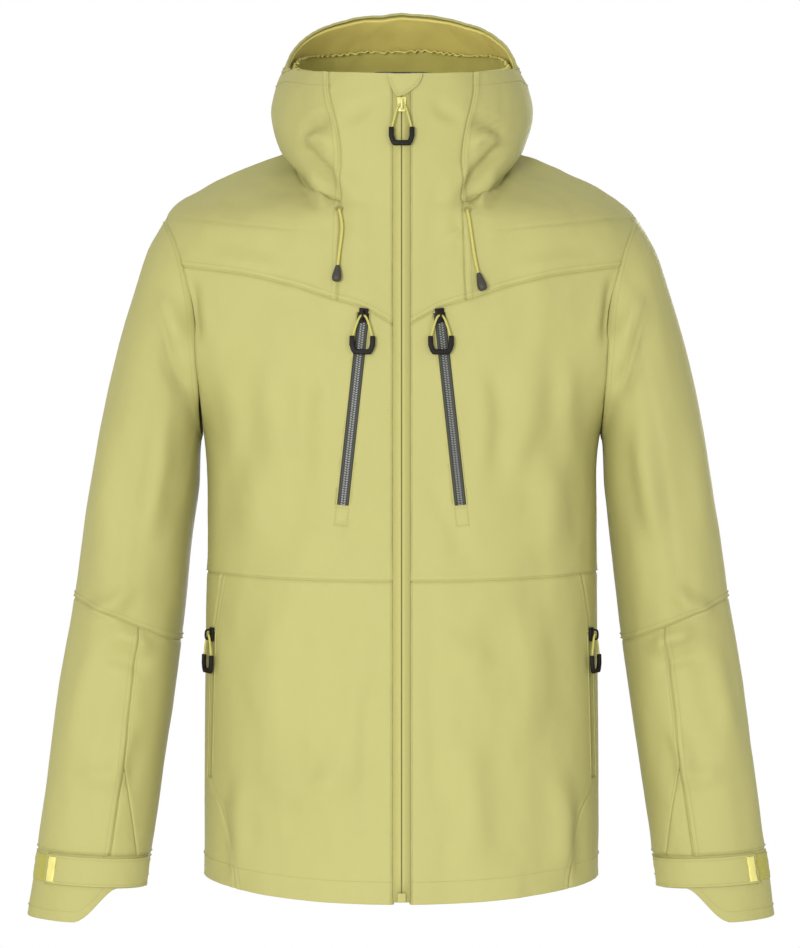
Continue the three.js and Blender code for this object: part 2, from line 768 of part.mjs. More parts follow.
const SLIDER_FACE = -ZIP_GAP;
const MAIN_START = 30.5; // the closed slider's distance below the collar top
const MAIN_FOOT = 7; // the zip ends this far above the hem
const mainTop = MAIN_START - 1;
const mainFoot = MAIN_START - (COLLAR_TOP - HEM) + MAIN_FOOT;
const mainMiddle = (mainTop + mainFoot) / 2;

const mainFrame = new THREE.Group();
mainFrame.position.set(0, zipLineY(COLLAR_TOP - MAIN_START), COLLAR_TOP - MAIN_START);
mainFrame.rotation.x = -Math.atan(ZIP_LEAN);

function mainTape(side) {
  return box(7.6, 1.4, mainTop - mainFoot, side * 4.2, 0.9, mainMiddle);
}

// The strip behind the front zip that keeps the wind out.
function stormFlap() {
  return box(40, 1.2, mainTop - mainFoot - 6, 0, 6.2, mainMiddle);
}

// The flap sewn over the zip's top end.
function chinGuard() {
  const [top, tip, thickness] = [MAIN_START, MAIN_START - 22.5, 1.2];
  const guard = plate([
    [-14, top], [-13, top - 8], [-6.5, tip + 1], [-3, tip], [6, tip + 3.5], [13, tip + 8.5],
    [18, tip + 14.5], [20.5, top],
  ], thickness);
  guard.translate(0, -0.4 - thickness, 0);
  return guard;
}

// The box and pin that the slider meets at the zip's lower end.
function zipBox() {
  return box(8, 2.4, 9, 0, -1.5, mainFoot + 4.5);
}

const MAIN_DROP = 22; // from the slider's eye to the grip
add('main_zip_tape_left', mainTape(1), TRIM, mainFrame);
add('main_zip_tape_right', mainTape(-1), TRIM, mainFrame);
add('storm_flap', stormFlap(), LINING, mainFrame);
add('chin_guard', chinGuard(), SHELL, mainFrame);
add('zip_box', zipBox(), TRIM, mainFrame);
add('main_slider', slider(SLIDER_FACE), SLIDER, mainFrame);
add('main_pull_cord', pullCord(SLIDER_FACE, MAIN_DROP), TRIM, mainFrame);
add('main_pull_grip', pullGrip(SLIDER_FACE, MAIN_DROP + 0.3), GRIP, mainFrame);
jacket.add(mainFrame);

// ---- pocket zips -----------------------------------------------------------------------------

const TAPE_WIDTH = 11.6;
const chestFrame = zipFrame(onFront(36.9, -171), onFront(56.6, -353));
const handFrame = zipFrame(handZipTop, handZipFoot);

const pocketTape = (frame) =>
  box(TAPE_WIDTH, 1.4, frame.userData.length, 0, 0.9, -frame.userData.length / 2);

// The opening that a panel needs round a pocket zip.
function slot(frame) {
  const margin = 0.5;
  const { length } = frame.userData;
  const opening = box(TAPE_WIDTH + 2 * margin, 14, length + 2 * margin, 0, 0, -length / 2);
  frame.updateMatrix();
  return opening.applyMatrix4(frame.matrix);
}

function joinedPull(drop) {
  return joined(pullCord(SLIDER_FACE, drop + 1), pullGrip(SLIDER_FACE, drop));
}

const POCKET_DROP = 20;
for (const [name, frame] of [['chest', chestFrame], ['hand', handFrame]]) {
  addPair(`${name}_zip`, pocketTape(frame), TAPE, frame);
  addPair(`${name}_slider`, slider(SLIDER_FACE), SLIDER, frame);
  addPair(`${name}_pull`, joinedPull(POCKET_DROP), GRIP, frame);
}

// ---- panels of the trunk, hood and sleeves ---------------------------------------------------

addPair('centre_panel', centrePanel(), SHELL);
addPair('front_yoke', frontYoke(), SHELL);
addPair('chest_panel', cut(chest(), slot(chestFrame)), SHELL);
addPair('front_skirt', cut(frontSkirt(), slot(handFrame)), SHELL);
addPair('side_panel', cut(sidePanel(), slot(handFrame)), SHELL);
add('back_yoke', backYoke(), SHELL);
add('back_panel', backPanel(), SHELL);
add('back_skirt', backSkirt(), SHELL);
add('body_lining', bodyLining(), LINING);
addPair('chest_pocket_bag', pocketBag(28, 112, -372, -196), LINING);
addPair('hand_pocket_bag', pocketBag(78, 172, -640, -456), LINING);
addPair('hood_side', hoodSide(), SHELL);
add('hood_crown', hoodCrown(), SHELL);
add('hood_brim', hoodBrim(), SHELL);
add('hood_lining', hoodLining(), LINING);
add('hanger_loop', hangerLoop(), TRIM);
addPair('upper_sleeve', upperSleeve(), SHELL);
addPair('forearm', forearm(), SHELL);
addPair('cuff_gusset', cuffGusset(), SHELL);
addPair('cuff', cuff(), SHELL);
addPair('cuff_tab', cuffTab(TAB_END, TAB_SEWN, 3.4, 1.6), SHELL);
addPair('cuff_grip', cuffTab(TAB_END + 4, TAB_END + 11, 4.8, 1), TRIM);

// ---- hood drawcords --------------------------------------------------------------------------
// Each leaves the foot of the collar seam and hangs down the yoke to its end piece.

const CORD_DIAMETER = 3;
const LEFT_CORD = [
  [63.5, -199.2, -69], [64.2, -200.3, -72.5], [65, -201.1, -76], [65.7, -201.8, -80.5],
  [66.3, -202.3, -85], [67, -202.7, -89.5], [67.6, -202.9, -94], [68.3, -203.2, -99],
  [69, -203.5, -104], [69.8, -203.7, -109], [70.6, -203.9, -114], [71.5, -204.2, -118.5],
  [72.4, -204.5, -123], [73.3, -205.1, -127], [74.2, -205.9, -130.4],
];
const RIGHT_CORD = [
  [-60.5, -199.4, -68], [-59.4, -200.8, -72], [-58.6, -201.9, -76], [-58, -202.6, -80],
  [-57.6, -203.1, -84], [-57.6, -203.5, -88.5], [-58, -203.7, -93], [-58.6, -203.9, -97.5],
  [-59.2, -204.1, -102], [-59.7, -204.3, -106], [-60.2, -204.5, -110], [-60.6, -204.8, -113.5],
  [-61, -205.2, -117], [-61.3, -205.7, -120], [-61.6, -206.3, -123],
];

function drawcord(route) {
  return tube(route, CORD_DIAMETER / 2, 9);
}

// The tapered end piece, in line with the cord's last stretch.
function cordEnd(route, length) {
  const profile = [[0, 0], [2.3, 0], [3.1, 0.15], [4.3, 0.55], [4.6, 0.8], [3.6, 1], [0, 1]];
  const outline = profile.map(([radius, share]) => new THREE.Vector2(radius, -share * length));
  const geometry = new THREE.LatheGeometry(outline.reverse(), 12);
  const [before, last] = toVectors(route.slice(-2));
  const along = last.clone().sub(before).normalize();
  geometry.applyQuaternion(
    new THREE.Quaternion().setFromUnitVectors(new THREE.Vector3(0, -1, 0), along),
  );
  last.addScaledVector(along, 0.3);
  geometry.translate(last.x, last.y, last.z);
  return geometry;
}

for (const [side, route, length] of [['left', LEFT_CORD, 17.5], ['right', RIGHT_CORD, 15.5]]) {
  add(`hood_cord_${side}`, drawcord(route), TRIM);
  add(`cord_end_${side}`, cordEnd(route, length), CORD_TIP);
}

export default jacket;
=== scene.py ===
"""Visual model of a hooded shell ski jacket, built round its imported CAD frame.

Lengths are millimetres until a mesh is made, and metres in Blender. +Z is up, the front of the
jacket faces -Y and the wearer's left is +X. The cloth lies on three lofted surfaces: the trunk,
the hood and a sleeve. A point of them is met at a turn in degrees and a height or share v.
"""

import logging
import math
from collections.abc import Callable, Sequence
from dataclasses import dataclass, field
from enum import Enum

import bmesh
import bpy
import numpy as np
from mathutils import Matrix, Vector


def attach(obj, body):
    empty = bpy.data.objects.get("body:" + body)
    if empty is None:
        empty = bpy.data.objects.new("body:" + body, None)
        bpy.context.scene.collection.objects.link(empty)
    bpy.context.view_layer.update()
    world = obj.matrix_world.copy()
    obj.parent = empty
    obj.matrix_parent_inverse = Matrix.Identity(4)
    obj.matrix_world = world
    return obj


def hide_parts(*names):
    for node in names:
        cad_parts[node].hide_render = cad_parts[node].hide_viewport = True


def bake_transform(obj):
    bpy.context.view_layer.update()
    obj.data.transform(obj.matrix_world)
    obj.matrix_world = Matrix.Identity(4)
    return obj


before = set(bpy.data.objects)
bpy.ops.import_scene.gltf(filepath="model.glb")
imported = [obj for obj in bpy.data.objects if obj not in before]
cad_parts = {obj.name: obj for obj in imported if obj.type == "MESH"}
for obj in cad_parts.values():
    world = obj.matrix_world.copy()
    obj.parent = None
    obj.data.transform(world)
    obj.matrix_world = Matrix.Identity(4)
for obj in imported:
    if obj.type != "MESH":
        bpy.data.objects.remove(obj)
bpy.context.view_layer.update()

log = logging.getLogger("jacket")

Array = np.ndarray
Edge = Callable[[Array], Array]
Point = tuple[float, float, float]

MM = 0.001
CLOTH = 0.7
LINING_CLOTH = 0.5
COLLAR_TOP = 64.0
NECK = -64.0
HEM = -736.0
WAIST = -428.0
ZIP_TOP_Y = -196.0
ZIP_LEAN = 0.045
PLACKET = 8.8
ARMPIT = -285.0
ARMHOLE_HEIGHT = 216.0
LINING_DEPTH = 11.0
CUFF_TOP = 0.955
ELBOW = 0.62
SIDE = 90.0
BACK_SIDE = 118.0
CROWN_SIDE = 157.0
BACK_YOKE = -150.0
YOKE_LOW = -179.0
COLLAR_X = 59.0
BRIM_DEPTH = 16.0
GUSSET_TOP = 0.843


# ---- curves and surfaces ---------------------------------------------------------------------


def smooth(value: Array, low: float, high: float) -> Array:
    """Ease from 0 at low to 1 at high."""
    share = np.clip((value - low) / (high - low), 0, 1)
    return share * share * (3 - 2 * share)


def blend_stations(table: Array, v: Array) -> Array:
    """Blend the rows of a table at v, never past a row's own values.

    Args:
        table: Rows of v and the values there, with rising v.
        v: Where to read it.

    Returns:
        The values, with their index first and the shape of v after it.
    """
    knots, values = table[:, 0], table[:, 1:]
    spans = np.diff(knots)[:, None]
    slopes = np.diff(values, axis=0) / spans
    before, after = slopes[:-1], slopes[1:]
    rising = before * after > 0
    total = np.where(rising, before + after, 1)
    inner = np.where(rising, 2 * before * after / total, 0)
    tangents = np.concatenate([slopes[:1], inner, slopes[-1:]])
    k = np.clip(np.searchsorted(knots, v) - 1, 0, len(knots) - 2)
    span = spans[k, 0][..., None]
    s = np.clip((v - knots[k])[..., None] / span, 0, 1)
    blended = (
        (2 * s**3 - 3 * s**2 + 1) * values[k]
        + (s**3 - 2 * s**2 + s) * tangents[k] * span
        + (3 * s**2 - 2 * s**3) * values[k + 1]
        + (s**3 - s**2) * tangents[k + 1] * span
    )
    return np.moveaxis(blended, -1, 0)


def bisect(low: Array, high: Array, is_low: Callable[[Array], Array]) -> Array:
    """Halve the gap between low and high until they meet where is_low turns false."""
    low, high = np.array(low, float), np.array(high, float)
    for _ in range(36):
        middle = (low + high) / 2
        keep = is_low(middle)
        low, high = np.where(keep, middle, low), np.where(keep, high, middle)
    return low


def zip_line_y(z: Array) -> Array:
    """How far forward the front zip's line lies at height z."""
    return ZIP_TOP_Y - ZIP_LEAN * (COLLAR_TOP - z)


class Surface:
    """A surface that cloth is cut from."""

    step = 0.2

    def point(self, turn: Array, v: Array) -> Array:
        """The point at a turn and v, with x, y and z last."""
        raise NotImplementedError

    def normal(self, turn: Array, v: Array) -> Array:
        """The unit vector that points out of the jacket there."""
        across = self.point(turn + 0.4, v) - self.point(turn - 0.4, v)
        along = self.point(turn, v + self.step) - self.point(turn, v - self.step)
        out = np.cross(across, along)
        return out / np.linalg.norm(out, axis=-1, keepdims=True)


class Trunk(Surface):
    """The body of the jacket and its hood, by the height v of the ring's centre front.

    A ring is v, half-width, side y, side z, back y, back z, front and back squareness.
    """

    trunk = np.array([
        [-760, 197.0, -95, -760, 47, -760, 2.25, 2.25],
        [-600, 196.5, -95, -600, 39, -600, 2.25, 2.25],
        [-430, 195.0, -95, -430, 32, -430, 2.25, 2.25],
        [-330, 194.6, -95, -330, 37, -330, 2.25, 2.2],
        [-285, 198.0, -95, -285, 40, -285, 2.25, 2.2],
        [-225, 229.0, -95, -225, 44, -225, 2.25, 2.2],
        [-175, 251.0, -94, -175, 46, -175, 2.25, 2.2],
        [-135, 254.0, -93, -133, 46, -133, 2.25, 2.1],
        [-110, 249.0, -91, -99, 43, -99, 2.25, 2.1],
        [-97, 240.5, -88, -74, 38, -76, 2.25, 2.0],
        [-88, 229.0, -85, -57, 33, -58, 2.3, 2.0],
        [-79, 203.0, -81, -39, 26, -39, 2.35, 2.0],
        [-71, 160.0, -78, -18, 18, -19, 2.45, 2.0],
        [-64, 108.0, -75, 1, 10, -4, 2.6, 2.0],
    ])
    hood = np.array([
        [-64, 108.0, -75, 1, 10, -4, 2.6, 2.0],
        [-40, 123.5, -76, 12, 66, -22, 2.45, 2.1],
        [0, 131.5, -77, 41, 112, 20, 2.3, 2.2],
        [36, 127.5, -76, 63, 95, 92, 2.2, 2.2],
        [64, 116.0, -75, 85.5, 20, 152.5, 2.1, 2.1],
    ])

    def ring(self, v: Array) -> Array:
        """The ring's seven values at v."""
        return np.where(v > NECK, blend_stations(self.hood, v), blend_stations(self.trunk, v))

    def point(self, turn: Array, v: Array) -> Array:
        """Find points of the surface.

        Args:
            turn: The turn from the centre front, in degrees.
            v: The ring's height at the centre front.

        Returns:
            The points.
        """
        turn, v = np.broadcast_arrays(np.asarray(turn, float), np.asarray(v, float))
        width, side_y, side_z, back_y, back_z, front, back = self.ring(v)
        angle = np.radians(turn)
        cosine, sine = np.cos(angle), np.sin(angle)
        power = 2 / np.where(cosine > 0, front, back)
        across = np.abs(sine) ** power * np.sign(sine)
        along = np.abs(cosine) ** power
        end_y = np.where(cosine > 0, zip_line_y(v), back_y)
        end_z = np.where(cosine > 0, v, back_z)
        y = side_y + (end_y - side_y) * along
        return np.stack([width * across, y, side_z + (end_z - side_z) * along], -1)

    def turn_across(self, x: float, v: Array) -> Array:
        """The turn at which ring v passes x on its front half."""
        width, *_, front, _ = self.ring(np.asarray(v, float))
        return np.degrees(np.arcsin(np.minimum(x / width, 1) ** (front / 2)))

    def on_ring(self, x: float, v: float) -> Array:
        """Turn and v of the front point at x on ring v."""
        return np.array([float(self.turn_across(x, v)), v])

    def on_front(self, x: float, z: float) -> Array:
        """Turn and v of the point that is seen from the front at x and z."""
        v = bisect(HEM - 20, COLLAR_TOP, lambda m: self.point(self.turn_across(x, m), m)[..., 2] < z)
        return self.on_ring(x, float(v))


BODY = Trunk()


def armhole_x(z: Array) -> Array:
    """How far out the armhole lies at height z."""
    rise = (z - ARMPIT) / ARMHOLE_HEIGHT
    return 198 + 10 * rise + 28 * rise**4


def past_armhole(point: Array) -> Array:
    """True where a point lies outside the armhole."""
    return point[..., 0] > armhole_x(point[..., 2])


ARMHOLE_TOP = float(bisect(-135, -71, lambda v: past_armhole(BODY.point(90, v))))


def armhole_turn(v: Array, back: Array) -> Array:
    """The turn at which ring v crosses the armhole, on its front or its back half."""
    inside = np.where(back, 180.0, 0.0) + 0 * v
    return bisect(inside, 90.0 + 0 * inside, lambda t: ~past_armhole(BODY.point(t, v)))


class Sleeve(Surface):
    """The left sleeve, by share v of its length. Turn 0 is outside, 90 in front, 180 inside.

    A ring is v, outer x and z, inner x and z, middle y, depth in front and depth behind.
    """

    step = 0.002
    clearance = 0.4
    head_blend = 0.1
    squareness = 2.1
    rings = np.array([
        [0.0, 236, -69, 199.2, -285, -93, 68, 80],
        [0.06, 250, -90, 200.0, -289, -93, 71, 82],
        [0.14, 264, -134, 200.6, -295, -93, 74, 83],
        [0.25, 284, -200, 201.2, -306, -92, 76, 83],
        [0.36, 298.6, -270, 202.0, -330, -91, 75, 80],
        [0.48, 311, -340, 207.5, -378, -90, 70, 75],
        [0.62, 327.6, -447, 220.5, -490, -90, 64, 68],
        [0.74, 341.6, -535, 229, -552, -94, 58, 61],
        [0.84, 350.6, -605, 237.5, -612, -98, 54, 56],
        [0.955, 362.6, -696, 250, -702, -103, 49, 50],
        [1.0, 367, -727, 254, -733, -105, 47, 48],
        [1.06, 372.5, -770, 259, -776, -107, 46, 47],
    ])

    def point(self, turn: Array, v: Array) -> Array:
        """Find points of the surface.

        Args:
            turn: The turn round the sleeve from its outer side, in degrees.
            v: The share of its length.

        Returns:
            The points.
        """
        turn, v = np.broadcast_arrays(np.asarray(turn, float), np.asarray(v, float))
        ox, oz, ix, iz, y, front, behind = blend_stations(self.rings, v)
        angle = np.radians(turn)
        cosine, sine = np.cos(angle), np.sin(angle)
        power = 2 / self.squareness
        along = np.abs(cosine) ** power * np.sign(cosine)
        depth = np.abs(sine) ** power * np.where(sine > 0, -front, behind)
        ring = np.stack(
            [(ox + ix) / 2 + (ox - ix) / 2 * along, y + depth, (oz + iz) / 2 + (oz - iz) / 2 * along],
            -1,
        )
        share = 1 - smooth(v, 0, self.head_blend)
        if not share.any():
            return ring
        height = ARMPIT + (ARMHOLE_TOP - ARMPIT) * (1 + cosine) / 2
        edge = BODY.point(armhole_turn(height, sine < 0), height)
        edge[..., 0] += self.clearance
        return ring + (edge - ring) * share[..., None]


SLEEVE = Sleeve()


# ---- seams -----------------------------------------------------------------------------------


def straight(start: Sequence[float], end: Sequence[float]) -> Edge:
    """An edge that runs evenly from one turn and v to another."""
    a, b = np.array(start, float), np.array(end, float)
    return lambda s: a + (b - a) * np.asarray(s)[..., None]


def chain(first: Edge, second: Edge, share: float) -> Edge:
    """Two edges end to end, the first over that share of the whole."""
    def edge(s: Array) -> Array:
        s = np.asarray(s, float)
        begin = first(np.clip(s / share, 0, 1))
        rest = second(np.clip((s - share) / (1 - share), 0, 1))
        return np.where((s < share)[..., None], begin, rest)
    return edge


def mirrored(edge: Edge) -> Edge:
    """The same edge on the other half of the trunk."""
    return lambda s: edge(s) * [-1, 1] + [360, 0]


def reversed_edge(edge: Edge) -> Edge:
    """The same edge from its other end."""
    return lambda s: edge(1 - np.asarray(s))


def spline(points: Sequence[Sequence[float]]) -> Callable[[Array], Array]:
    """Draw a smooth curve through points.

    Args:
        points: What it passes through.

    Returns:
        Its places, as a function of 0 to 1.
    """
    nodes = np.array(points, float)
    nodes = np.vstack([2 * nodes[0] - nodes[1], nodes, 2 * nodes[-1] - nodes[-2]])

    def curve(s: Array) -> Array:
        place = np.clip(np.asarray(s, float), 0, 1) * (len(nodes) - 3)
        k = np.minimum(place.astype(int), len(nodes) - 4)
        t = (place - k)[..., None]
        a, b, c, d = (nodes[k + n] for n in range(4))
        return b + t * (c - a + t * (2 * a - 5 * b + 4 * c - d + t * (3 * (b - c) + d - a))) / 2
    return curve


def around(height: Callable[[Array], Array], start: float, end: float) -> Edge:
    """An edge round a surface whose v is a function of the turn."""
    def edge(s: Array) -> Array:
        turn = start + (end - start) * np.asarray(s, float)
        return np.stack([turn, height(turn)], -1)
    return edge


def girdle(level: float, rise: float) -> Callable[[Array], Array]:
    """A level that stands higher at the sides than in front and behind."""
    return lambda turn: level + rise * (1 - np.cos(np.radians(2 * turn))) / 2


def armhole(start: float, end: float, back: bool = False) -> Edge:
    """An edge along the armhole between two ring heights."""
    def edge(s: Array) -> Array:
        v = start + (end - start) * np.asarray(s, float)
        return np.stack([armhole_turn(v, np.array(back)), v], -1)
    return edge


def placket(start: float, end: float) -> Edge:
    """The straight edge beside the front zip between two heights."""
    def edge(s: Array) -> Array:
        v = start + (end - start) * np.asarray(s, float)
        return np.stack([BODY.turn_across(PLACKET, v), v], -1)
    return edge


waist = girdle(WAIST, 7)
hem = girdle(HEM, 14)


def brim_line(turn: Array) -> Array:
    """The seam under the hood's brim."""
    return COLLAR_TOP - BRIM_DEPTH * smooth(np.minimum(turn, 360 - turn), 70, 105)


ARMHOLE_YOKE = BODY.on_front(211, -121)[1]
collar_low = spline([
    BODY.on_front(63, -156),
    *(BODY.on_ring(60.0 - 0.03 * (v + 84), v) for v in (-138, -122, -106, -96, -88, -81, -75, -69)),
    BODY.on_ring(COLLAR_X, NECK),
])
collar_high = spline([
    BODY.on_ring(COLLAR_X, NECK), BODY.on_ring(59.5, -22), BODY.on_ring(64, 14),
    BODY.on_ring(71.5, COLLAR_TOP),
])
yoke_inner = spline([
    BODY.on_front(PLACKET, YOKE_LOW), BODY.on_front(26, -169.5), BODY.on_front(42, -162),
    BODY.on_front(63, -156),
])
yoke_outer = spline([
    BODY.on_front(63, -156), BODY.on_front(106, -142), BODY.on_front(152, -131),
    BODY.on_front(192, -124.5), armhole(ARMHOLE_YOKE, ARMHOLE_YOKE)(0.0),
])
pocket_top = float(BODY.turn_across(177, -423))
pocket_foot = float(BODY.turn_across(163, HEM))
HAND_ZIP = (BODY.on_front(185.5, -482), BODY.on_front(189, -622))
pocket_seam = spline([
    [pocket_top, float(waist(pocket_top))], BODY.on_front(182.3, -455), HAND_ZIP[0],
    BODY.on_front(187.8, -550), HAND_ZIP[1], BODY.on_front(179, -652), BODY.on_front(166, -700),
    [pocket_foot, float(hem(pocket_foot))],
])
shoulder_seam = straight([SIDE, ARMHOLE_TOP], [SIDE, NECK])
forearm_seam = straight([107, ELBOW], [110.5, GUSSET_TOP])
gusset_inner = spline([[110.5, GUSSET_TOP], [124, 0.89], [135, 0.925], [144, CUFF_TOP]])
gusset_outer = straight([110.5, GUSSET_TOP], [109.5, CUFF_TOP])


# ---- how the cloth lies ----------------------------------------------------------------------


class Noise:
    """Smooth noise in space that is the same on every run."""

    def __init__(self, seed: int) -> None:
        """Shuffle the lattice by the seed."""
        source = np.random.default_rng(seed)
        self.order = source.permutation(256)
        self.slopes = source.normal(size=(256, 3))
        self.slopes /= np.linalg.norm(self.slopes, axis=1, keepdims=True)

    def at(self, points: Array, scale: float | Sequence[float]) -> Array:
        """Read the noise.

        Args:
            points: Where to read it.
            scale: How long a step of its lattice is, alike every way or along x, y and z.

        Returns:
            Its values, about -0.7 to 0.7.
        """
        points = points / np.asarray(scale, float)
        cell = np.floor(points).astype(int)
        local = points - cell
        ease = local**3 * (local * (local * 6 - 15) + 10)
        total = np.zeros(points.shape[:-1])
        for corner in np.ndindex(2, 2, 2):
            x, y, z = np.moveaxis(cell + corner, -1, 0)
            index = self.order[(self.order[(self.order[x & 255] + y) & 255] + z) & 255]
            weight = np.where(corner, ease, 1 - ease).prod(-1)
            total += weight * ((local - corner) * self.slopes[index]).sum(-1)
        return total


def line_distance(points: Array, path: Sequence[Sequence[float]]) -> tuple[Array, Array]:
    """How far points lie from a line of the front view, and how far along it.

    Args:
        points: Places with x, y and z last.
        path: The line's corners, each x and z.

    Returns:
        The distance, negative on the left of the line, and the share of its length.
    """
    flat = points[..., [0, 2]]
    nodes = np.array(path, float)
    lengths = np.linalg.norm(np.diff(nodes, axis=0), axis=1)
    best = np.full(flat.shape[:-1], 1e9)
    signed, along = best.copy(), np.zeros_like(best)
    done = 0.0
    for start, end, length in zip(nodes, nodes[1:], lengths):
        way = (end - start) / length
        offset = flat - start
        travel = np.clip(offset @ way, 0, length)
        gap = np.linalg.norm(offset - travel[..., None] * way, axis=-1)
        side = np.sign(way[0] * offset[..., 1] - way[1] * offset[..., 0])
        closer = gap < best
        best = np.where(closer, gap, best)
        signed = np.where(closer, -gap * side, signed)
        along = np.where(closer, (done + travel) / lengths.sum(), along)
        done += length
    return signed, along


@dataclass(frozen=True)
class Crease:
    """A fold along a line of x and z, with a hollow on each side of its ridge."""

    path: tuple[tuple[float, float], ...]
    width: float
    height: float
    back: bool = False

    def at(self, points: Array, normals: Array) -> Array:
        """How far the fold lifts the cloth at each point."""
        gap, along = line_distance(points, self.path)
        gap = gap / self.width
        ends = smooth(along, 0, 0.35) * (1 - smooth(along, 0.65, 1))
        facing = normals[..., 1] if self.back else -normals[..., 1]
        ridge = (1 - 0.9 * gap**2) * np.exp(-(gap**2) / 1.3)
        return self.height * ridge * ends * smooth(facing, 0.05, 0.4)


def both_sides(*creases: Crease) -> list[Crease]:
    """The creases as given for the left, and on the right their images, a little slighter."""
    pairs = []
    for crease in creases:
        path = tuple((-x, z) for x, z in crease.path)
        pairs += [crease, Crease(path, crease.width * 1.1, crease.height * 0.85, crease.back)]
    return pairs


@dataclass
class Folds:
    """The folds of the jacket on its wearer, as heights off its lofted surfaces."""

    creases: list[Crease] = field(default_factory=lambda: both_sides(
        Crease(((104, 6), (86, 16), (64, 22)), 6, -3.5),
        Crease(((112, 2), (92, -11), (72, -32), (60, -58)), 6, -5.0),
        Crease(((98, 2), (80, 4), (64, -6)), 7, 3.5),
        Crease(((96, -26), (84, -44), (72, -66)), 6, 3.0),
        Crease(((60, -20), (46, -60), (40, -110)), 12, 1.2),
        Crease(((22, 40), (44, 26), (62, 20)), 8, -1.2),
        Crease(((72, -70), (58, -90), (40, -98)), 6, 1.4),
        Crease(((190, -110), (150, -118), (110, -128)), 10, 1.4),
        Crease(((120, -190), (124, -260), (112, -330)), 17, 1.6),
        Crease(((86, -200), (96, -280), (90, -360)), 13, -1.4),
        Crease(((168, -210), (162, -270), (166, -330)), 13, 1.7),
        Crease(((290, -250), (296, -330), (306, -400)), 13, 2.2),
        Crease(((306, -480), (318, -540), (330, -600)), 12, 1.8),
        Crease(((26, -330), (50, -372), (60, -420)), 11, -1.2),
        Crease(((16, -480), (30, -560), (28, -660)), 12, -1.5),
        Crease(((207, -122), (204, -160), (198, -205)), 7, -3.0),
        Crease(((236, -140), (226, -172), (212, -205)), 10, 4.0),
        Crease(((246, -180), (226, -215), (208, -250)), 9, -3.5),
        Crease(((228, -260), (240, -330), (252, -400)), 13, 3.0),
        Crease(((262, -430), (282, -452), (318, -462)), 9, 2.5),
        Crease(((240, -500), (262, -486), (292, -478)), 9, 2.6),
        Crease(((246, -520), (268, -508), (300, -500)), 8, -1.8),
        Crease(((262, -560), (276, -600), (284, -650)), 10, 2.0),
        Crease(((268, -610), (292, -622), (320, -616)), 12, 1.4),
        Crease(((140, -300), (146, -350), (140, -410)), 22, 2.2),
        Crease(((120, -440), (128, -520), (122, -600)), 22, 2.4),
        Crease(((60, -560), (70, -640), (64, -725)), 20, 1.8),
        Crease(((150, -600), (160, -660), (156, -725)), 13, 2.6),
        Crease(((176, -630), (172, -680), (176, -730)), 9, -2.2),
        Crease(((90, -120), (84, -320), (90, -520)), 30, 4.0, True),
        Crease(((206, -150), (190, -210), (170, -280)), 14, 5.0, True),
        Crease(((184, -300), (150, -340), (100, -360)), 16, -3.5, True),
        Crease(((300, -360), (284, -430), (276, -520)), 14, 3.5, True),
        Crease(((250, -440), (280, -462), (316, -470)), 10, 3.0, True),
        Crease(((252, -480), (282, -500), (322, -512)), 10, -2.5, True),
    ) + [
        Crease(((30, -470), (60, -500), (100, -505)), 14, 1.3),
        Crease(((-40, -610), (-90, -630), (-140, -610)), 20, 1.5),
        Crease(((0, -60), (4, -300), (0, -520)), 34, -4.0, True),
        Crease(((-120, -400), (0, -424), (120, -396)), 18, 3.0, True),
    ])
    calm: tuple[tuple[Sequence[Sequence[float]], float], ...] = (
        (((0, 64), (0, -760)), 26.0),
        (((36.9, -171), (56.6, -353)), 17.0),
        (((-36.9, -171), (-56.6, -353)), 17.0),
        (((186, -482), (189, -622)), 14.0),
        (((-186, -482), (-189, -622)), 14.0),
        (((63.5, -69), (76, -150)), 10.0),
        (((-60.5, -68), (-64, -142)), 10.0),
        (((250, -717), (372, -717)), 24.0),
        (((-250, -717), (-372, -717)), 24.0),
    )
    strength: float = 2.2
    noise: Noise = field(default_factory=lambda: Noise(11))

    def height(self, points: Array, normals: Array) -> Array:
        """How far the cloth stands off its surface at each point."""
        broad = 5.0 * self.noise.at(points + 500, (85, 110, 190))
        medium = 3.4 * self.noise.at(points + 900, (34, 46, 80))
        small = 1.1 * self.noise.at(points + 1300, (15, 18, 28))
        creases = sum(crease.at(points, normals) for crease in self.creases)
        height = broad + medium + small + self.strength * creases
        for path, radius in self.calm:
            gap = np.abs(line_distance(points, path)[0])
            height = height * (0.05 + 0.95 * smooth(gap, radius * 0.45, radius * 1.7))
        return height * (1 - 0.6 * normals[..., 0] ** 2)


class Border(Enum):
    """How a panel's edge is finished, as steps past the edge and into the jacket."""

    SEAM = ((0.35, 0.7), (0.8, 2.4))
    HEM = ((0.5, 0.4), (0.4, 1.1), (-2.5, 1.9), (-16.0, 3.4))
    WELT = ((0.5, 0.3), (0.6, 1.2), (0.3, 3.2))
    LIP = ((0.5, -0.5), (1.0, -2.6))


ALL_WELTED = dict.fromkeys(("low", "high", "left", "right"), Border.WELT)


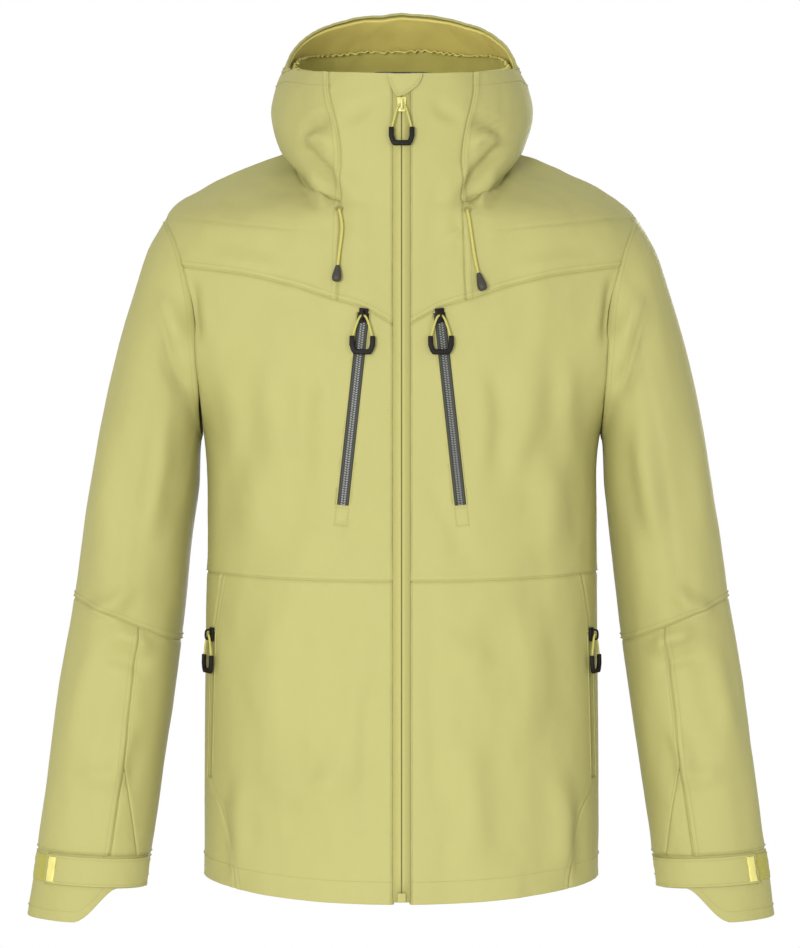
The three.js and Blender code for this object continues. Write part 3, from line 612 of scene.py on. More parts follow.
@dataclass
class Laid:
    """A panel's cloth on the jacket: a grid of points with rows along v and columns along turn."""

    points: Array
    normals: Array
    away: dict[str, Array]
    borders: dict[str, Border]
    wrap: bool
    mirror: bool

    def line(self, border: str, offset: float, start: float = 0.0, end: float = 1.0) -> Array:
        """The points at a distance from a border, lifted just off the cloth.

        Args:
            border: Which border it keeps to.
            offset: Its distance from it.
            start: Share of the border's length where the line begins.
            end: Share where it ends.

        Returns:
            The line's points.
        """
        points, away = self.points + 0.12 * self.normals, self.away[border]
        if border in ("left", "right"):
            points, away = points.transpose(1, 0, 2), away.T
        count = points.shape[1]
        picked = []
        for k in range(round(start * (count - 1)), round(end * (count - 1)) + 1):
            order = np.argsort(away[:, k])
            ways = away[order, k]
            picked.append([np.interp(offset, ways, points[order, k, n]) for n in range(3)])
        return np.array(picked)

    def mesh(self, name: str) -> bpy.types.Object:
        """Make the cloth's mesh, turned under or hemmed at its borders, with a UV map in metres."""
        points, normals = self.points, self.normals
        for border, axis in (("left", 1), ("right", 1), ("low", 0), ("high", 0)):
            if self.wrap and axis == 1:
                continue
            first = border in ("left", "low")
            order = slice(None) if first else slice(None, None, -1)
            grid = (points if axis == 0 else points.transpose(1, 0, 2))[order]
            facing = (normals if axis == 0 else normals.transpose(1, 0, 2))[order]
            past = grid[0] - grid[2]
            past /= np.linalg.norm(past, axis=-1, keepdims=True)
            steps = [grid[0] + out * past - depth * facing[0] for out, depth in self.borders[border].value]
            grid = np.concatenate([np.array(steps[::-1]), grid])[order]
            facing = np.concatenate([np.repeat(facing[:1], len(steps), 0), facing])[order]
            points = grid if axis == 0 else grid.transpose(1, 0, 2)
            normals = facing if axis == 0 else facing.transpose(1, 0, 2)
        across = np.linalg.norm(np.diff(points, axis=1), axis=-1)
        along = np.linalg.norm(np.diff(points, axis=0), axis=-1)
        u = np.pad(np.cumsum(across, axis=1), ((0, 0), (1, 0)))
        v = np.pad(np.cumsum(along, axis=0), ((1, 0), (0, 0)))
        rows, columns = u.shape
        stride = columns - 1 if self.wrap else columns
        index = np.arange(rows)[:, None] * stride + np.arange(columns)[None, :] % stride
        corners = [(0, 0), (0, 1), (1, 1), (1, 0)]
        if self.mirror:
            corners.reverse()
        def pick(grid: Array) -> Array:
            return np.stack([grid[a:rows - 1 + a, b:columns - 1 + b] for a, b in corners], 2)
        faces = pick(index).reshape(-1, 4)
        uvs = np.stack([pick(u), pick(v)], -1).reshape(-1, 2) * MM
        return make_mesh(name, points[:, :stride].reshape(-1, 3), faces, uvs)


@dataclass
class Patch:
    """A panel of cloth: the part of a surface between four seams."""

    surface: Surface
    low: Edge
    high: Edge
    left: Edge
    right: Edge
    borders: dict[str, Border] = field(default_factory=dict)
    wrap: bool = False
    lift: float = 0.0
    folded: float = 1.0
    cell: float = 4.2
    ridges: tuple[str, ...] = ()
    gathers: tuple[str, ...] = ()
    fine: tuple[float, ...] = (0, 0.7, 1.6, 2.9, 4.6, 6.0, 8.0)

    def coons(self, a: Array, b: Array) -> Array:
        """Turn and v at share a across and share b up the panel."""
        a, b = np.broadcast_arrays(a, b)
        up, over = b[..., None], a[..., None]
        across = self.low(a) * (1 - up) + self.high(a) * up
        along = self.left(b) * (1 - over) + self.right(b) * over
        zero, one = np.array(0.0), np.array(1.0)
        bottom = self.low(zero) * (1 - over) + self.low(one) * over
        top = self.high(zero) * (1 - over) + self.high(one) * over
        return across + along - bottom * (1 - up) - top * up

    def shares(self, across: bool) -> Array:
        """Space the grid's lines, closer together at the panel's seams.

        Args:
            across: Whether to space the lines from low to high, rather than those from side to side.

        Returns:
            Where each crosses the middle of the panel, from 0 to 1.
        """
        s = np.linspace(0, 1, 241)
        place = self.coons(s, np.array(0.5)) if across else self.coons(np.array(0.5), s)
        points = self.surface.point(place[..., 0], place[..., 1])
        travel = np.append(0, np.cumsum(np.linalg.norm(np.diff(points, axis=0), axis=1)))
        length, edge = travel[-1], np.array(self.fine)
        if self.wrap and across:
            stops = np.linspace(0, length, round(length / self.cell) + 1)
        elif length < 3 * edge[-1]:
            stops = np.linspace(0, length, max(6, math.ceil(length / 1.5)))
        else:
            count = math.ceil((length - 2 * edge[-1]) / self.cell) + 1
            middle = np.linspace(edge[-1], length - edge[-1], count)
            stops = np.concatenate([edge[:-1], middle, (length - edge[:-1])[::-1]])
        return np.interp(stops, travel, s)

    def lay(self, folds: Folds, mirror: bool = False) -> Laid:
        """Lay the panel on its surface, with its folds and seams.

        Args:
            folds: The folds that it takes part in.
            mirror: True for the right-hand copy.

        Returns:
            The laid cloth.
        """
        place = self.coons(self.shares(True)[None, :], self.shares(False)[:, None])
        turn, v = place[..., 0], place[..., 1]
        sign = np.array([-1.0, 1.0, 1.0]) if mirror else np.ones(3)
        points = self.surface.point(turn, v) * sign
        normals = self.surface.normal(turn, v) * sign
        across = np.pad(np.cumsum(np.linalg.norm(np.diff(points, axis=1), axis=-1), 1), ((0, 0), (1, 0)))
        along = np.pad(np.cumsum(np.linalg.norm(np.diff(points, axis=0), axis=-1), 0), ((1, 0), (0, 0)))
        away = {
            "left": across, "right": across[:, -1:] - across,
            "low": along, "high": along[-1:] - along,
        }
        borders = {name: self.borders.get(name, Border.SEAM) for name in away}
        pucker = folds.noise.at(points, 6.5)
        height = self.lift + self.folded * folds.height(points, normals)
        for name, gap in away.items():
            if self.wrap and name in ("left", "right"):
                continue
            if borders[name] is Border.SEAM:
                height -= 1.0 * np.exp(-((gap / 1.5) ** 2))
            height += 0.8 * pucker * np.exp(-gap / 9)
            if name in self.ridges:
                height += 0.4 * (smooth(gap, 0.4, 2.0) - smooth(gap, 5.5, 7.5))
            if name in self.gathers:
                wave = np.sin(across * math.tau / 8.5 + 5 * folds.noise.at(points, 14))
                height += 1.5 * wave * np.exp(-gap / 6)
        return Laid(points + normals * height[..., None], normals, away, borders, self.wrap, mirror)


# ---- meshes ----------------------------------------------------------------------------------


def make_mesh(name: str, points: Array, faces: Sequence, uvs: Array | None = None) -> bpy.types.Object:
    """Make a smooth-shaded object from points in millimetres.

    Args:
        name: The piece's name.
        points: Its corners.
        faces: The corners of each face, counter-clockwise from outside.
        uvs: A UV for each corner of each face in turn, if it has a pattern that follows it.

    Returns:
        The object, linked to the scene.
    """
    data = bpy.data.meshes.new(name)
    data.from_pydata((np.asarray(points, float) * MM).tolist(), [], [list(map(int, face)) for face in faces])
    if uvs is not None:
        layer = data.uv_layers.new(name="UVMap")
        layer.data.foreach_set("uv", np.asarray(uvs, np.float32).ravel())
    data.shade_smooth()
    data.update()
    piece = bpy.data.objects.new(name, data)
    bpy.context.scene.collection.objects.link(piece)
    return piece


def thicken(piece: bpy.types.Object, depth: float, offset: float = -1.0) -> bpy.types.Object:
    """Give a sheet its thickness, inwards unless offset says otherwise."""
    wall = piece.modifiers.new("wall", "SOLIDIFY")
    wall.thickness, wall.offset = depth * MM, offset
    return piece


def bake_modifiers(piece: bpy.types.Object) -> bpy.types.Object:
    """Turn the evaluated object into a plain mesh and remove its modifiers."""
    evaluated = piece.evaluated_get(bpy.context.evaluated_depsgraph_get())
    data = bpy.data.meshes.new_from_object(evaluated)
    piece.modifiers.clear()
    piece.data = data
    return piece


def face_out(piece: bpy.types.Object) -> bpy.types.Object:
    """Turn a closed mesh's faces outwards."""
    mesh = bmesh.new()
    mesh.from_mesh(piece.data)
    bmesh.ops.recalc_face_normals(mesh, faces=mesh.faces)
    mesh.to_mesh(piece.data)
    mesh.free()
    return piece


def skin(name: str, rings: Array, u: Array, v: Array) -> bpy.types.Object:
    """Skin rings of points into a tube that is closed at both ends.

    Args:
        name: The piece's name.
        rings: The points, with the ring first, the place round it next and x, y and z last.
        u: How far round its ring each point is, in millimetres, with the first point again at the end.
        v: How far along the tube it is.

    Returns:
        The tube, with its UV map in metres.
    """
    count, sides = rings.shape[:2]
    faces, uvs = [], []
    for j in range(count - 1):
        for i in range(sides):
            ring = [(j, i), (j, i + 1), (j + 1, i + 1), (j + 1, i)]
            faces.append([row * sides + column % sides for row, column in ring])
            uvs += [(u[place], v[place]) for place in ring]
    faces += [list(range(sides))[::-1], list(range((count - 1) * sides, count * sides))]
    uvs += [(0, 0)] * sides * 2
    return make_mesh(name, rings.reshape(-1, 3), faces, np.array(uvs) * MM)


def make_tube(name: str, rings: Array) -> bpy.types.Object:
    """Skin rings of points, with a UV map measured round and along them."""
    closed = np.concatenate([rings, rings[:, :1]], 1)
    u = np.pad(np.cumsum(np.linalg.norm(np.diff(closed, axis=1), axis=-1), 1), ((0, 0), (1, 0)))
    v = np.pad(np.cumsum(np.linalg.norm(np.diff(closed, axis=0), axis=-1), 0), ((1, 0), (0, 0)))
    return face_out(skin(name, rings, u, v))


def sweep(
    name: str, path: Array, radius: float, sides: int = 8, taper: Callable[[Array], Array] | None = None
) -> bpy.types.Object:
    """Make a round tube along a path, closed at both ends.

    Args:
        name: The piece's name.
        path: The points that its middle follows.
        radius: Its radius.
        sides: How many faces go round it.
        taper: The radius' share at each share of its length, if it changes.

    Returns:
        The tube, with a UV map in metres along it.
    """
    path = np.asarray(path, float)
    ways = np.gradient(path, axis=0)
    ways /= np.linalg.norm(ways, axis=1, keepdims=True)
    travel = np.append(0, np.cumsum(np.linalg.norm(np.diff(path, axis=0), axis=1)))
    radii = radius * (taper(travel / travel[-1]) if taper else np.ones(len(path)))
    first = np.cross(ways[0], (0.3, 0.9, 0.1))
    rings = []
    for place, way, r in zip(path, ways, radii):
        first = first - way * (first @ way)
        first /= np.linalg.norm(first)
        second = np.cross(way, first)
        angles = 2 * np.pi * np.arange(sides) / sides
        rings.append(place + r * (np.cos(angles)[:, None] * first + np.sin(angles)[:, None] * second))
    u, v = np.meshgrid(2 * np.pi * radius / sides * np.arange(sides + 1), travel)
    return skin(name, np.array(rings), u, v)


def make_band(name: str, path: Array, across: Point, width: float, depth: float) -> bpy.types.Object:
    """Make a flat band along a path, with rounded edges.

    Args:
        name: The piece's name.
        path: The points that its middle follows.
        across: The way that its width lies.
        width: Its width.
        depth: Its thickness.

    Returns:
        The band.
    """
    ways = np.gradient(path, axis=0)
    ways /= np.linalg.norm(ways, axis=1, keepdims=True)
    side = np.array(across) - ways * (ways @ np.array(across))[:, None]
    side /= np.linalg.norm(side, axis=1, keepdims=True)
    out = np.cross(ways, side)
    angles = np.linspace(0, 2 * np.pi, 16, endpoint=False)
    x = width / 2 * np.sign(np.cos(angles)) * np.abs(np.cos(angles)) ** 0.4
    y = depth / 2 * np.sign(np.sin(angles)) * np.abs(np.sin(angles)) ** 0.7
    rings = path[:, None] + side[:, None] * x[None, :, None] + out[:, None] * y[None, :, None]
    return make_tube(name, rings)


def merge(name: str, pieces: Sequence[bpy.types.Object]) -> bpy.types.Object:
    """Join pieces, with their modifiers and slots, into one plain mesh.

    Args:
        name: The whole's name.
        pieces: What to join, which is used up.

    Returns:
        The whole.
    """
    whole = bmesh.new()
    materials: list[bpy.types.Material] = []
    for piece in pieces:
        bake_modifiers(piece)
        slots = list(piece.data.materials)
        materials += [m for m in slots if m not in materials]
        for face in piece.data.polygons:
            face.material_index = materials.index(slots[face.material_index]) if slots else 0
        whole.from_mesh(piece.data)
        bpy.data.objects.remove(piece)
    data = bpy.data.meshes.new(name)
    whole.to_mesh(data)
    whole.free()
    for material in materials:
        data.materials.append(material)
    joined = bpy.data.objects.new(name, data)
    bpy.context.scene.collection.objects.link(joined)
    return joined


# ---- rows of stitches and teeth --------------------------------------------------------------


class Bead(Enum):
    """What a row is made of: its node, and that node's settings."""

    STITCH = ("GeometryNodeMeshIcoSphere", {"Radius": 0.5, "Subdivisions": 1})
    TOOTH = ("GeometryNodeMeshCylinder", {"Vertices": 6, "Radius": 0.5, "Depth": 1.0})


@dataclass(frozen=True)
class Row:
    """Beads along lines: their pitch and size in millimetres, and their tilt in degrees."""

    bead: Bead
    pitch: float
    size: Point
    tilt: float = 0.0

    def tree(self) -> tuple[bpy.types.NodeTree, dict[str, str]]:
        """Build the node tree that sets the beads on the lines.

        Returns:
            The tree, and each input's identifier by its name.
        """
        tree = bpy.data.node_groups.new(f"row_of_{self.bead.name.lower()}", "GeometryNodeTree")
        kinds = {
            "Lines": "NodeSocketGeometry", "Pitch": "NodeSocketFloat", "Size": "NodeSocketVector",
            "Facing": "NodeSocketVector", "Tilt": "NodeSocketFloat", "Finish": "NodeSocketMaterial",
        }
        sockets = {
            name: tree.interface.new_socket(name, in_out="INPUT", socket_type=kind).identifier
            for name, kind in kinds.items()
        }
        tree.interface.new_socket("Beads", in_out="OUTPUT", socket_type="NodeSocketGeometry")

        def node(kind: str, settings: dict | None = None, **inputs: object) -> bpy.types.Node:
            made = tree.nodes.new(kind)
            for key, value in (settings or {}).items():
                setattr(made, key, value)
            for key, value in inputs.items():
                socket = made.inputs[key.replace("_", " ")]
                if isinstance(value, bpy.types.NodeSocket):
                    tree.links.new(value, socket)
                else:
                    socket.default_value = value
            return made

        given = node("NodeGroupInput").outputs
        kind, shape = self.bead.value
        plain = node(kind, **shape).outputs["Mesh"]
        bead = node("GeometryNodeTransform", Geometry=plain, Scale=given["Size"])
        curve = node("GeometryNodeMeshToCurve", Mesh=given["Lines"])
        stops = node(
            "GeometryNodeResampleCurve", {"mode": "LENGTH"}, Curve=curve.outputs[0], Length=given["Pitch"],
        )
        face = node("FunctionNodeAlignRotationToVector", {"axis": "Z"}, Vector=given["Facing"])
        way = node(
            "FunctionNodeAlignRotationToVector", {"axis": "X", "pivot_axis": "Z"},
            Rotation=face.outputs[0], Vector=node("GeometryNodeInputTangent").outputs[0],
        )
        tilt = node("FunctionNodeAxisAngleToRotation", Axis=(0, 0, 1), Angle=given["Tilt"])
        turned = node(
            "FunctionNodeRotateRotation", {"rotation_space": "LOCAL"},
            Rotation=way.outputs[0], Rotate_By=tilt.outputs[0],
        )
        beads = node(
            "GeometryNodeInstanceOnPoints", Points=stops.outputs[0], Instance=bead.outputs[0],
            Rotation=turned.outputs[0],
        )
        solid = node("GeometryNodeRealizeInstances", Geometry=beads.outputs[0])
        dressed = node("GeometryNodeSetMaterial", Geometry=solid.outputs[0], Material=given["Finish"])
        out = tree.nodes.new("NodeGroupOutput")
        tree.links.new(dressed.outputs[0], out.inputs[0])
        return tree, sockets

    def along(
        self, name: str, lines: Sequence[Array], finish: bpy.types.Material, facing: Point = (0, -1, 0)
    ) -> bpy.types.Object:
        """Set the beads along lines and turn the result into one mesh.

        Args:
            name: The piece's name.
            lines: Each line's points in millimetres.
            finish: The beads' material.
            facing: The way that their flat side faces.

        Returns:
            The beads as a plain mesh.
        """
        data = bpy.data.meshes.new(name)
        edges, start = [], 0
        for line in lines:
            edges += [(k, k + 1) for k in range(start, start + len(line) - 1)]
            start += len(line)
        data.from_pydata((np.concatenate(lines) * MM).tolist(), edges, [])
        piece = bpy.data.objects.new(name, data)
        bpy.context.scene.collection.objects.link(piece)
        tree, sockets = self.tree()
        row = piece.modifiers.new("row", "NODES")
        row.node_group = tree
        row[sockets["Pitch"]] = self.pitch * MM
        row[sockets["Size"]] = [length * MM for length in self.size]
        row[sockets["Facing"]] = list(facing)
        row[sockets["Tilt"]] = math.radians(self.tilt)
        row[sockets["Finish"]] = finish
        return bake_modifiers(piece)


STITCHES = Row(Bead.STITCH, 3.0, (2.2, 0.42, 0.42))


# ---- finishes --------------------------------------------------------------------------------


def linear(code: str) -> tuple[float, float, float, float]:
    """A hexadecimal screen colour as linear light."""
    parts = [int(code[k:k + 2], 16) / 255 for k in (0, 2, 4)]
    return (*(p / 12.92 if p <= 0.04045 else ((p + 0.055) / 1.055) ** 2.4 for p in parts), 1.0)


class Shader:
    """A node material in the making."""

    def __init__(self, name: str) -> None:
        """Start with only a principled shader and the output."""
        self.material = bpy.data.materials.new(name)
        self.material.use_nodes = True
        self.tree = self.material.node_tree
        self.tree.nodes.clear()
        self.skin = self.add("ShaderNodeBsdfPrincipled")
        out = self.add("ShaderNodeOutputMaterial")
        self.tree.links.new(self.skin.outputs[0], out.inputs[0])

    def add(self, kind: str, inputs: dict | None = None, **settings: object) -> bpy.types.Node:
        """Add a node, with its settings, and values or links for its inputs."""
        made = self.tree.nodes.new(kind)
        for key, value in settings.items():
            setattr(made, key, value)
        self.set(made, inputs or {})
        return made

    def set(self, node: bpy.types.Node, inputs: dict) -> None:
        """Give a node's inputs their values or links."""
        for key, value in inputs.items():
            if isinstance(value, bpy.types.NodeSocket):
                self.tree.links.new(value, node.inputs[key])
            else:
                node.inputs[key].default_value = value

    def math(self, operation: str, *values: object) -> bpy.types.NodeSocket:
        """The result of a math node on values or sockets."""
        return self.add("ShaderNodeMath", dict(enumerate(values)), operation=operation).outputs[0]

    def noise(self, scale: float, detail: float = 2.0) -> bpy.types.NodeSocket:
        """Noise fixed to the object, with so many cells in a metre."""
        place = self.add("ShaderNodeTexCoord").outputs["Object"]
        return self.add(
            "ShaderNodeTexNoise", {"Vector": place, "Scale": scale, "Detail": detail}
        ).outputs["Fac"]

    def mix(self, share: object, first: object, second: object) -> bpy.types.NodeSocket:
        """A colour between two."""
        node = self.add("ShaderNodeMix", data_type="RGBA")
        self.set(node, {0: share, 6: first, 7: second})
        return node.outputs[2]

    def threads(self, across: float, along: float, slanted: bool = False) -> bpy.types.NodeSocket:
        """The height of crossing threads that follow the cloth, from -1 to 1."""
        place = self.add("ShaderNodeUVMap").outputs[0]
        split = self.add("ShaderNodeSeparateXYZ", {0: place}).outputs
        u = self.math("MULTIPLY", split[0], math.tau / (across * MM))
        v = self.math("MULTIPLY", split[1], math.tau / (along * MM))
        if slanted:
            u, v = self.math("ADD", u, v), self.math("SUBTRACT", u, v)
        return self.math("MULTIPLY", self.math("SINE", u), self.math("SINE", v))

    def bump(self, height: object, depth: float, under: object = None) -> bpy.types.NodeSocket:
        """A surface raised by height times depth in millimetres."""
        inputs = {"Height": height, "Distance": depth * MM, "Strength": 1.0}
        if under is not None:
            inputs["Normal"] = under
        return self.add("ShaderNodeBump", inputs).outputs[0]


@dataclass(frozen=True)
class Cloth:
    """Woven cloth: two close shades, a plain weave with painted shade where its threads dip, and a soft
    sheen.
    """

    name: str
    color: str
    shade: str
    thread: float = 0.9
    relief: float = 0.05
    crumple: float = 0.25
    roughness: float = 0.62
    sheen: float = 0.12

    def material(self) -> bpy.types.Material:
        """Build the cloth's material."""
        shader = Shader(self.name)
        patches = shader.mix(shader.noise(11, 3), linear(self.color), linear(self.shade))
        weave = shader.threads(self.thread, self.thread)
        # painted shade: the colour darkens a little where the weave's threads dip
        weave_shade = shader.math("MULTIPLY_ADD", weave, 0.045, 0.955)
        color = shader.add("ShaderNodeVectorMath", {0: patches, 3: weave_shade}, operation="SCALE").outputs[0]
        crumpled = shader.bump(shader.noise(95, 3), self.crumple)
        shader.set(shader.skin, {
            "Base Color": color,
            "Roughness": shader.math("MULTIPLY_ADD", shader.noise(160, 2), 0.14, self.roughness - 0.07),
            "Sheen Weight": self.sheen,
            "Sheen Roughness": 0.45,
            "Sheen Tint": linear(self.color),
            "Specular IOR Level": 0.28,
            "Normal": shader.bump(weave, self.relief, crumpled),
        })
        return shader.material


@dataclass(frozen=True)
class Braid:
    """Braided cord or ribbed tape: slanted or straight threads that follow it, with painted shade in the
    grooves between them.
    """

    name: str
    color: str
    painted_groove_shade: str
    across: float = 1.5
    along: float = 2.4
    relief: float = 0.16
    slanted: bool = True
    roughness: float = 0.7

    def material(self) -> bpy.types.Material:
        """Build the braid's material."""
        shader = Shader(self.name)
        threads = shader.threads(self.across, self.along, self.slanted)
        # painted shade: the darker groove colour where the threads dip stands in for shade in the hollows
        share = shader.math("MULTIPLY_ADD", threads, 0.5, 0.5)
        shader.set(shader.skin, {
            "Base Color": shader.mix(share, linear(self.painted_groove_shade), linear(self.color)),
            "Roughness": shader.math("MULTIPLY_ADD", shader.noise(400), 0.1, self.roughness),
            "Specular IOR Level": 0.3,
            "Normal": shader.bump(threads, self.relief),
        })
        return shader.material


@dataclass(frozen=True)
class Moulded:
    """Moulded plastic or enamelled metal, with a fine grain, slightly uneven gloss and a painted highlight on
    its sharp edges, broken up by noise.
    """

    name: str
    color: str
    edge_highlight: str
    roughness: float = 0.42
    coat: float = 0.0
    grain: float = 0.03
    specular: float = 0.45

    def material(self) -> bpy.types.Material:
        """Build the moulding's material."""
        shader = Shader(self.name)
        # painted highlight: a lighter colour on convex edges, found by pointiness and broken up by noise
        edges = shader.add("ShaderNodeNewGeometry").outputs["Pointiness"]
        sharp = {"Value": edges, "From Min": 0.52, "From Max": 0.6}
        highlit_edges = shader.add("ShaderNodeMapRange", sharp).outputs[0]
        highlight_share = shader.math("MULTIPLY", highlit_edges, shader.noise(700))
        shader.set(shader.skin, {
            "Base Color": shader.mix(highlight_share, linear(self.color), linear(self.edge_highlight)),
            "Roughness": shader.math("MULTIPLY_ADD", shader.noise(300), 0.16, self.roughness - 0.08),
            "Coat Weight": self.coat,
            "Coat Roughness": 0.2,
            "Specular IOR Level": self.specular,
            "Normal": shader.bump(shader.noise(2400), self.grain),
        })
        return shader.material


@dataclass(frozen=True)
class Pile:
    """Short fuzzy loops or hooks."""

    name: str
    color: str
    shade: str

    def material(self) -> bpy.types.Material:
        """Build the pile's material."""
        shader = Shader(self.name)
        place = shader.add("ShaderNodeTexCoord").outputs["Object"]
        tufts = shader.add("ShaderNodeTexVoronoi", {"Vector": place, "Scale": 1300}).outputs["Distance"]
        shader.set(shader.skin, {
            "Base Color": shader.mix(tufts, linear(self.color), linear(self.shade)),
            "Roughness": shader.math("MULTIPLY_ADD", tufts, 0.1, 0.88),
            "Sheen Weight": 0.08,
            "Normal": shader.bump(tufts, 0.35),
        })
        return shader.material


@dataclass
class Wardrobe:
    """Every finish of the jacket, made once."""

    shell: bpy.types.Material = field(default_factory=Cloth("shell_cloth", "969259", "918D54").material)
    inside: bpy.types.Material = field(
        default_factory=Cloth(
            "inside_cloth", "C4B665", "BCAE5C", thread=1.1, relief=0.07, sheen=0.05,
        ).material
    )
    lining: bpy.types.Material = field(
        default_factory=Cloth("lining_cloth", "C0B866", "B9B05E", thread=1.4, relief=0.1).material
    )
    # painted shade: the near-black colour of the sheet inside the collar front stands in for the shade in the
    # collar's opening
    painted_collar_shade: bpy.types.Material = field(
        default_factory=Cloth(
            "collar_cloth", "33353D", "2A2C33", thread=1.4, relief=0.12, roughness=0.85,
        ).material
    )
    thread: bpy.types.Material = field(
        default_factory=Braid("sewing_thread", "838046", "6B6735", 0.5, 0.5, 0.02).material
    )
    tape: bpy.types.Material = field(
        default_factory=Braid("zip_tape", "98945A", "89854C", 1.6, 0.8, 0.05, slanted=False).material
    )
    dark_tape: bpy.types.Material = field(
        default_factory=Braid("dark_zip_tape", "41413A", "2F2F29", 1.3, 0.8, 0.1, slanted=False).material
    )
    teeth: bpy.types.Material = field(
        default_factory=Moulded("zip_teeth", "666968", "7E8180", 0.4).material
    )
    enamel: bpy.types.Material = field(
        default_factory=Moulded("slider_enamel", "AEA95A", "C4C086", 0.35, coat=0.2).material
    )
    cord: bpy.types.Material = field(default_factory=Braid("braided_cord", "B3AD5C", "938D44").material)
    grip: bpy.types.Material = field(
        default_factory=Moulded("pull_moulding", "100D0A", "1C1814", 0.55, specular=0.12).material
    )
    tip: bpy.types.Material = field(
        default_factory=Moulded("cord_end_moulding", "302D27", "4A463F", 0.5, specular=0.25).material
    )
    strip: bpy.types.Material = field(
        default_factory=Moulded("grip_strip_moulding", "B5AD60", "C4BD78", 0.5).material
    )
    hooks: bpy.types.Material = field(default_factory=Pile("hook_pile", "98933A", "827D2C").material)


# ---- putting pieces on the frame -------------------------------------------------------------


@dataclass(frozen=True)
class Follow:
    """How a piece moves: with one body; where a second body is named, the piece is not attached and nothing
    bends it.
    """

    body: str
    other: str = ""
    start: Point = (0, 0, 0)
    end: Point = (0, 0, 1)

    def hold(self, piece: bpy.types.Object) -> None:
        """Attach a finished piece to its body, or, where a second body is named, only bake its transform in.
        """
        if self.other:
            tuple(self.start)
            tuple(self.end)
            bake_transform(piece)
        else:
            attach(piece, self.body)


WITH_SHELL = Follow("shell")
WITH_HOOD = Follow("shell", "hood", (0, -0.09, 0.03), (0, 0.03, 0.13))
SIDES = (("left", 1), ("right", -1))


def shoulder_bend(side: str, sign: int) -> Follow:
    """The upper sleeve's Follow: the trunk, the upper arm and a line from the shoulder's cap to below the
    armpit.
    """
    start, end = (sign * 0.264, -0.09, -0.198), (sign * 0.344, -0.09, -0.258)
    return Follow("shell", f"upper_arm_{side}", start, end)


def elbow_bend(side: str, sign: int) -> Follow:
    """The forearm's Follow: the upper arm, the lower arm and a line square to the elbow seam."""
    start, end = (sign * 0.274, -0.09, -0.4685), (sign * 0.3149, -0.09, -0.5705)
    return Follow(f"upper_arm_{side}", f"lower_arm_{side}", start, end)


def dress(
    piece: bpy.types.Object, finish: bpy.types.Material, slot: str, follow: Follow, *nodes: str
) -> bpy.types.Object:
    """Finish a piece and put it on the frame.

    Args:
        piece: The piece, with its mesh in place.
        finish: Its material, unless its mesh already has some.
        slot: The record's material slot; not used.
        follow: How it moves.
        nodes: The CAD nodes that it stands for.

    Returns:
        The piece.
    """
    if not any(piece.data.materials):
        piece.data.materials.clear()
        piece.data.materials.append(finish)
    follow.hold(piece)
    if nodes:
        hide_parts(*nodes)
        piece.name = f"{nodes[0]}_detailed"
    log.info("%s: %d faces", piece.name, len(piece.data.polygons))
    return piece


def stitch(name: str, lines: Sequence[Array], thread: bpy.types.Material, follow: Follow) -> None:
    """Topstitch along lines and put the stitches on the frame.

    Args:
        name: The stitches' name.
        lines: Each line's points in millimetres.
        thread: Their finish.
        follow: How they move.
    """
    dress(STITCHES.along(name, lines, thread), thread, "shell_fabric", follow)


# ---- the trunk -------------------------------------------------------------------------------


def up_from(low: Edge, high: Edge) -> Callable[[float], Edge]:
    """A way to draw the straight side of a panel at either end of its low and high edges."""
    return lambda end: straight(low(np.array(end)), high(np.array(end)))


